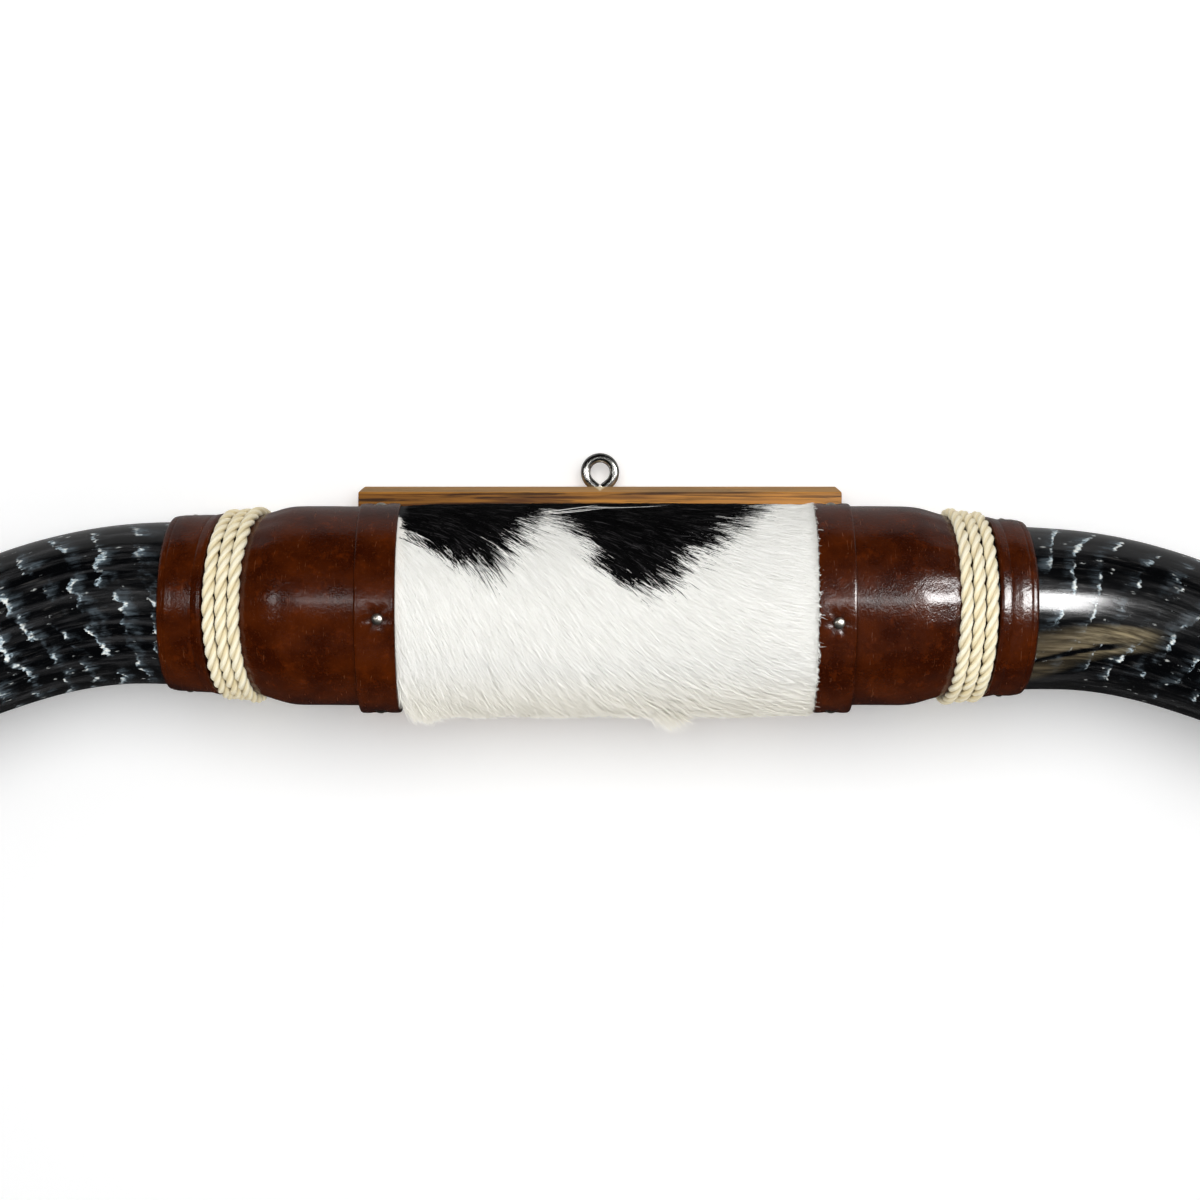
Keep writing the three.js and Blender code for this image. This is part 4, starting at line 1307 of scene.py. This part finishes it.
WALL_HALF_SIZE = 4
WALL_BEHIND = 0.002
WALL_GLOW = 0.2
# Its tone in reflections is a painted reflection: painted shade low down, where the wall lies in shadow, and
# lighter above, between these heights
MIRRORED_LOW, MIRRORED_HIGH = (0.03, 0.03, 0.03), (0.3, 0.3, 0.3)
MIRRORED_HEIGHTS = (-0.06, 0.06)
# Light from all round, and the white that the camera sees behind the object
LIGHT_ALL_ROUND = 0.34
WHITE_BEHIND = 1.0
MIDDLE = (0, -AXIS_FROM_WALL * MM, 0)
SHINE = {"mirrored": True, "spread": False}
SOFT = {"mirrored": False, "spread": True}
LIGHTS = {
    "front": {"location": (0.1, -2.1, 0.55), "size": (1.8, 1.6), "power": 34, **SOFT},
    "below": {"location": (0, -1.3, -1.2), "size": (2.0, 0.8), "power": 13, **SOFT},
    "right_gloss": {"location": (1.18, -1.36, 0.3), "size": (1.0, 0.6), "power": 60, **SHINE},
    "left_sheen": {"location": (-0.34, -1.9, 0.17), "size": (0.22, 0.25), "power": 1.3, **SHINE},
    "right_sheen": {"location": (0.36, -1.9, 0.17), "size": (0.34, 0.25), "power": 2.6, **SHINE},
    "left_gloss": {"location": (-1.0, -1.5, 0.15), "size": (0.2, 0.5), "power": 2.5, **SHINE},
    "behind": {"location": (0, 1.4, 0.9), "size": (2.0, 1.2), "power": 12, **SOFT},
}


def wall():
    paint = Finish("wall_white", Roughness=0.9, Emission_Strength=WALL_GLOW)
    paint.surface.inputs["Base Color"].default_value = (0.95, 0.95, 0.95, 1)
    paint.surface.inputs["Emission Color"].default_value = (1, 1, 1, 1)
    clear = paint.node("ShaderNodeBsdfTransparent", {}, {})
    behind = paint.node("ShaderNodeNewGeometry", {}, {}, "Backfacing")
    shadow = paint.node("ShaderNodeLightPath", {}, {}, "Is Shadow Ray")
    either = paint.maths("MAXIMUM", behind, shadow)
    # Glossy rays see a painted tone, darker low down, instead of the lit wall
    mirrored = paint.node("ShaderNodeLightPath", {}, {}, "Is Glossy Ray")
    height = paint.parts(paint.object_place())[2]
    tone = paint.mix(paint.between(height, *MIRRORED_HEIGHTS), MIRRORED_LOW, MIRRORED_HIGH)
    dim = paint.node("ShaderNodeBsdfDiffuse", {}, {"Color": tone})
    solid = Value(paint, paint.surface.outputs[0])
    solid = paint.node("ShaderNodeMixShader", {}, {0: mirrored, 1: solid, 2: dim})
    mixed = paint.node("ShaderNodeMixShader", {}, {0: either, 1: solid, 2: clear})
    paint.put(paint.tree.nodes["Material Output"].inputs["Surface"], mixed)
    bm = bmesh.new()
    bmesh.ops.create_grid(bm, x_segments=1, y_segments=1, size=WALL_HALF_SIZE)
    bmesh.ops.rotate(bm, verts=bm.verts, cent=(0, 0, 0), matrix=Matrix.Rotation(math.pi / 2, 3, "X"))
    bmesh.ops.translate(bm, verts=bm.verts, vec=(0, WALL_BEHIND, 0))
    mesh = mesh_of("wall", bm)
    mesh.materials.append(paint.material)
    thing = bpy.data.objects.new("wall", mesh)
    bpy.context.scene.collection.objects.link(thing)
    return thing


def soft_light(name, location, size, power, mirrored, spread):
    """An area light aimed at the mount's middle, for shine alone or for soft light alone."""
    lamp = bpy.data.lights.new(name, "AREA")
    lamp.shape = "RECTANGLE"
    lamp.size, lamp.size_y = size
    lamp.energy = power
    thing = bpy.data.objects.new(name, lamp)
    thing.location = location
    thing.visible_glossy = mirrored
    thing.visible_diffuse = spread
    aimed = np.array(MIDDLE) - np.array(location)
    level = math.hypot(aimed[0], aimed[1])
    thing.rotation_euler = (math.atan2(level, -aimed[2]), 0, math.atan2(aimed[1], aimed[0]) - math.pi / 2)
    bpy.context.scene.collection.objects.link(thing)
    return thing


def keep_off(light, *things):
    """The light doesn't fall on these things."""
    left_out = bpy.data.collections.new(f"{light.name}_leaves_out")
    for thing in things:
        left_out.objects.link(thing)
    for member in left_out.collection_objects:
        member.light_linking.link_state = "EXCLUDE"
    light.light_linking.receiver_collection = left_out


lights = {name: soft_light(name, **row) for name, row in LIGHTS.items()}
keep_off(lights["below"], wall())
keep_off(lights["right_gloss"], left_horn, ropes["left"], *leather_things["left"])
for name in ("left_sheen", "right_sheen"):
    keep_off(lights[name], left_horn, right_horn)

world = bpy.data.worlds.new("studio")
world.use_nodes = True
world.node_tree.nodes["Background"].inputs["Color"].default_value = (1, 1, 1, 1)
seen = world.node_tree.nodes.new("ShaderNodeLightPath").outputs["Is Camera Ray"]
strength = world.node_tree.nodes.new("ShaderNodeMapRange")
strength.inputs["To Min"].default_value = LIGHT_ALL_ROUND
strength.inputs["To Max"].default_value = WHITE_BEHIND
world.node_tree.links.new(seen, strength.inputs["Value"])
world.node_tree.links.new(strength.outputs[0], world.node_tree.nodes["Background"].inputs["Strength"])
world.cycles_visibility.glossy = False
bpy.context.scene.world = world
bpy.context.scene.view_settings.view_transform = "Standard"
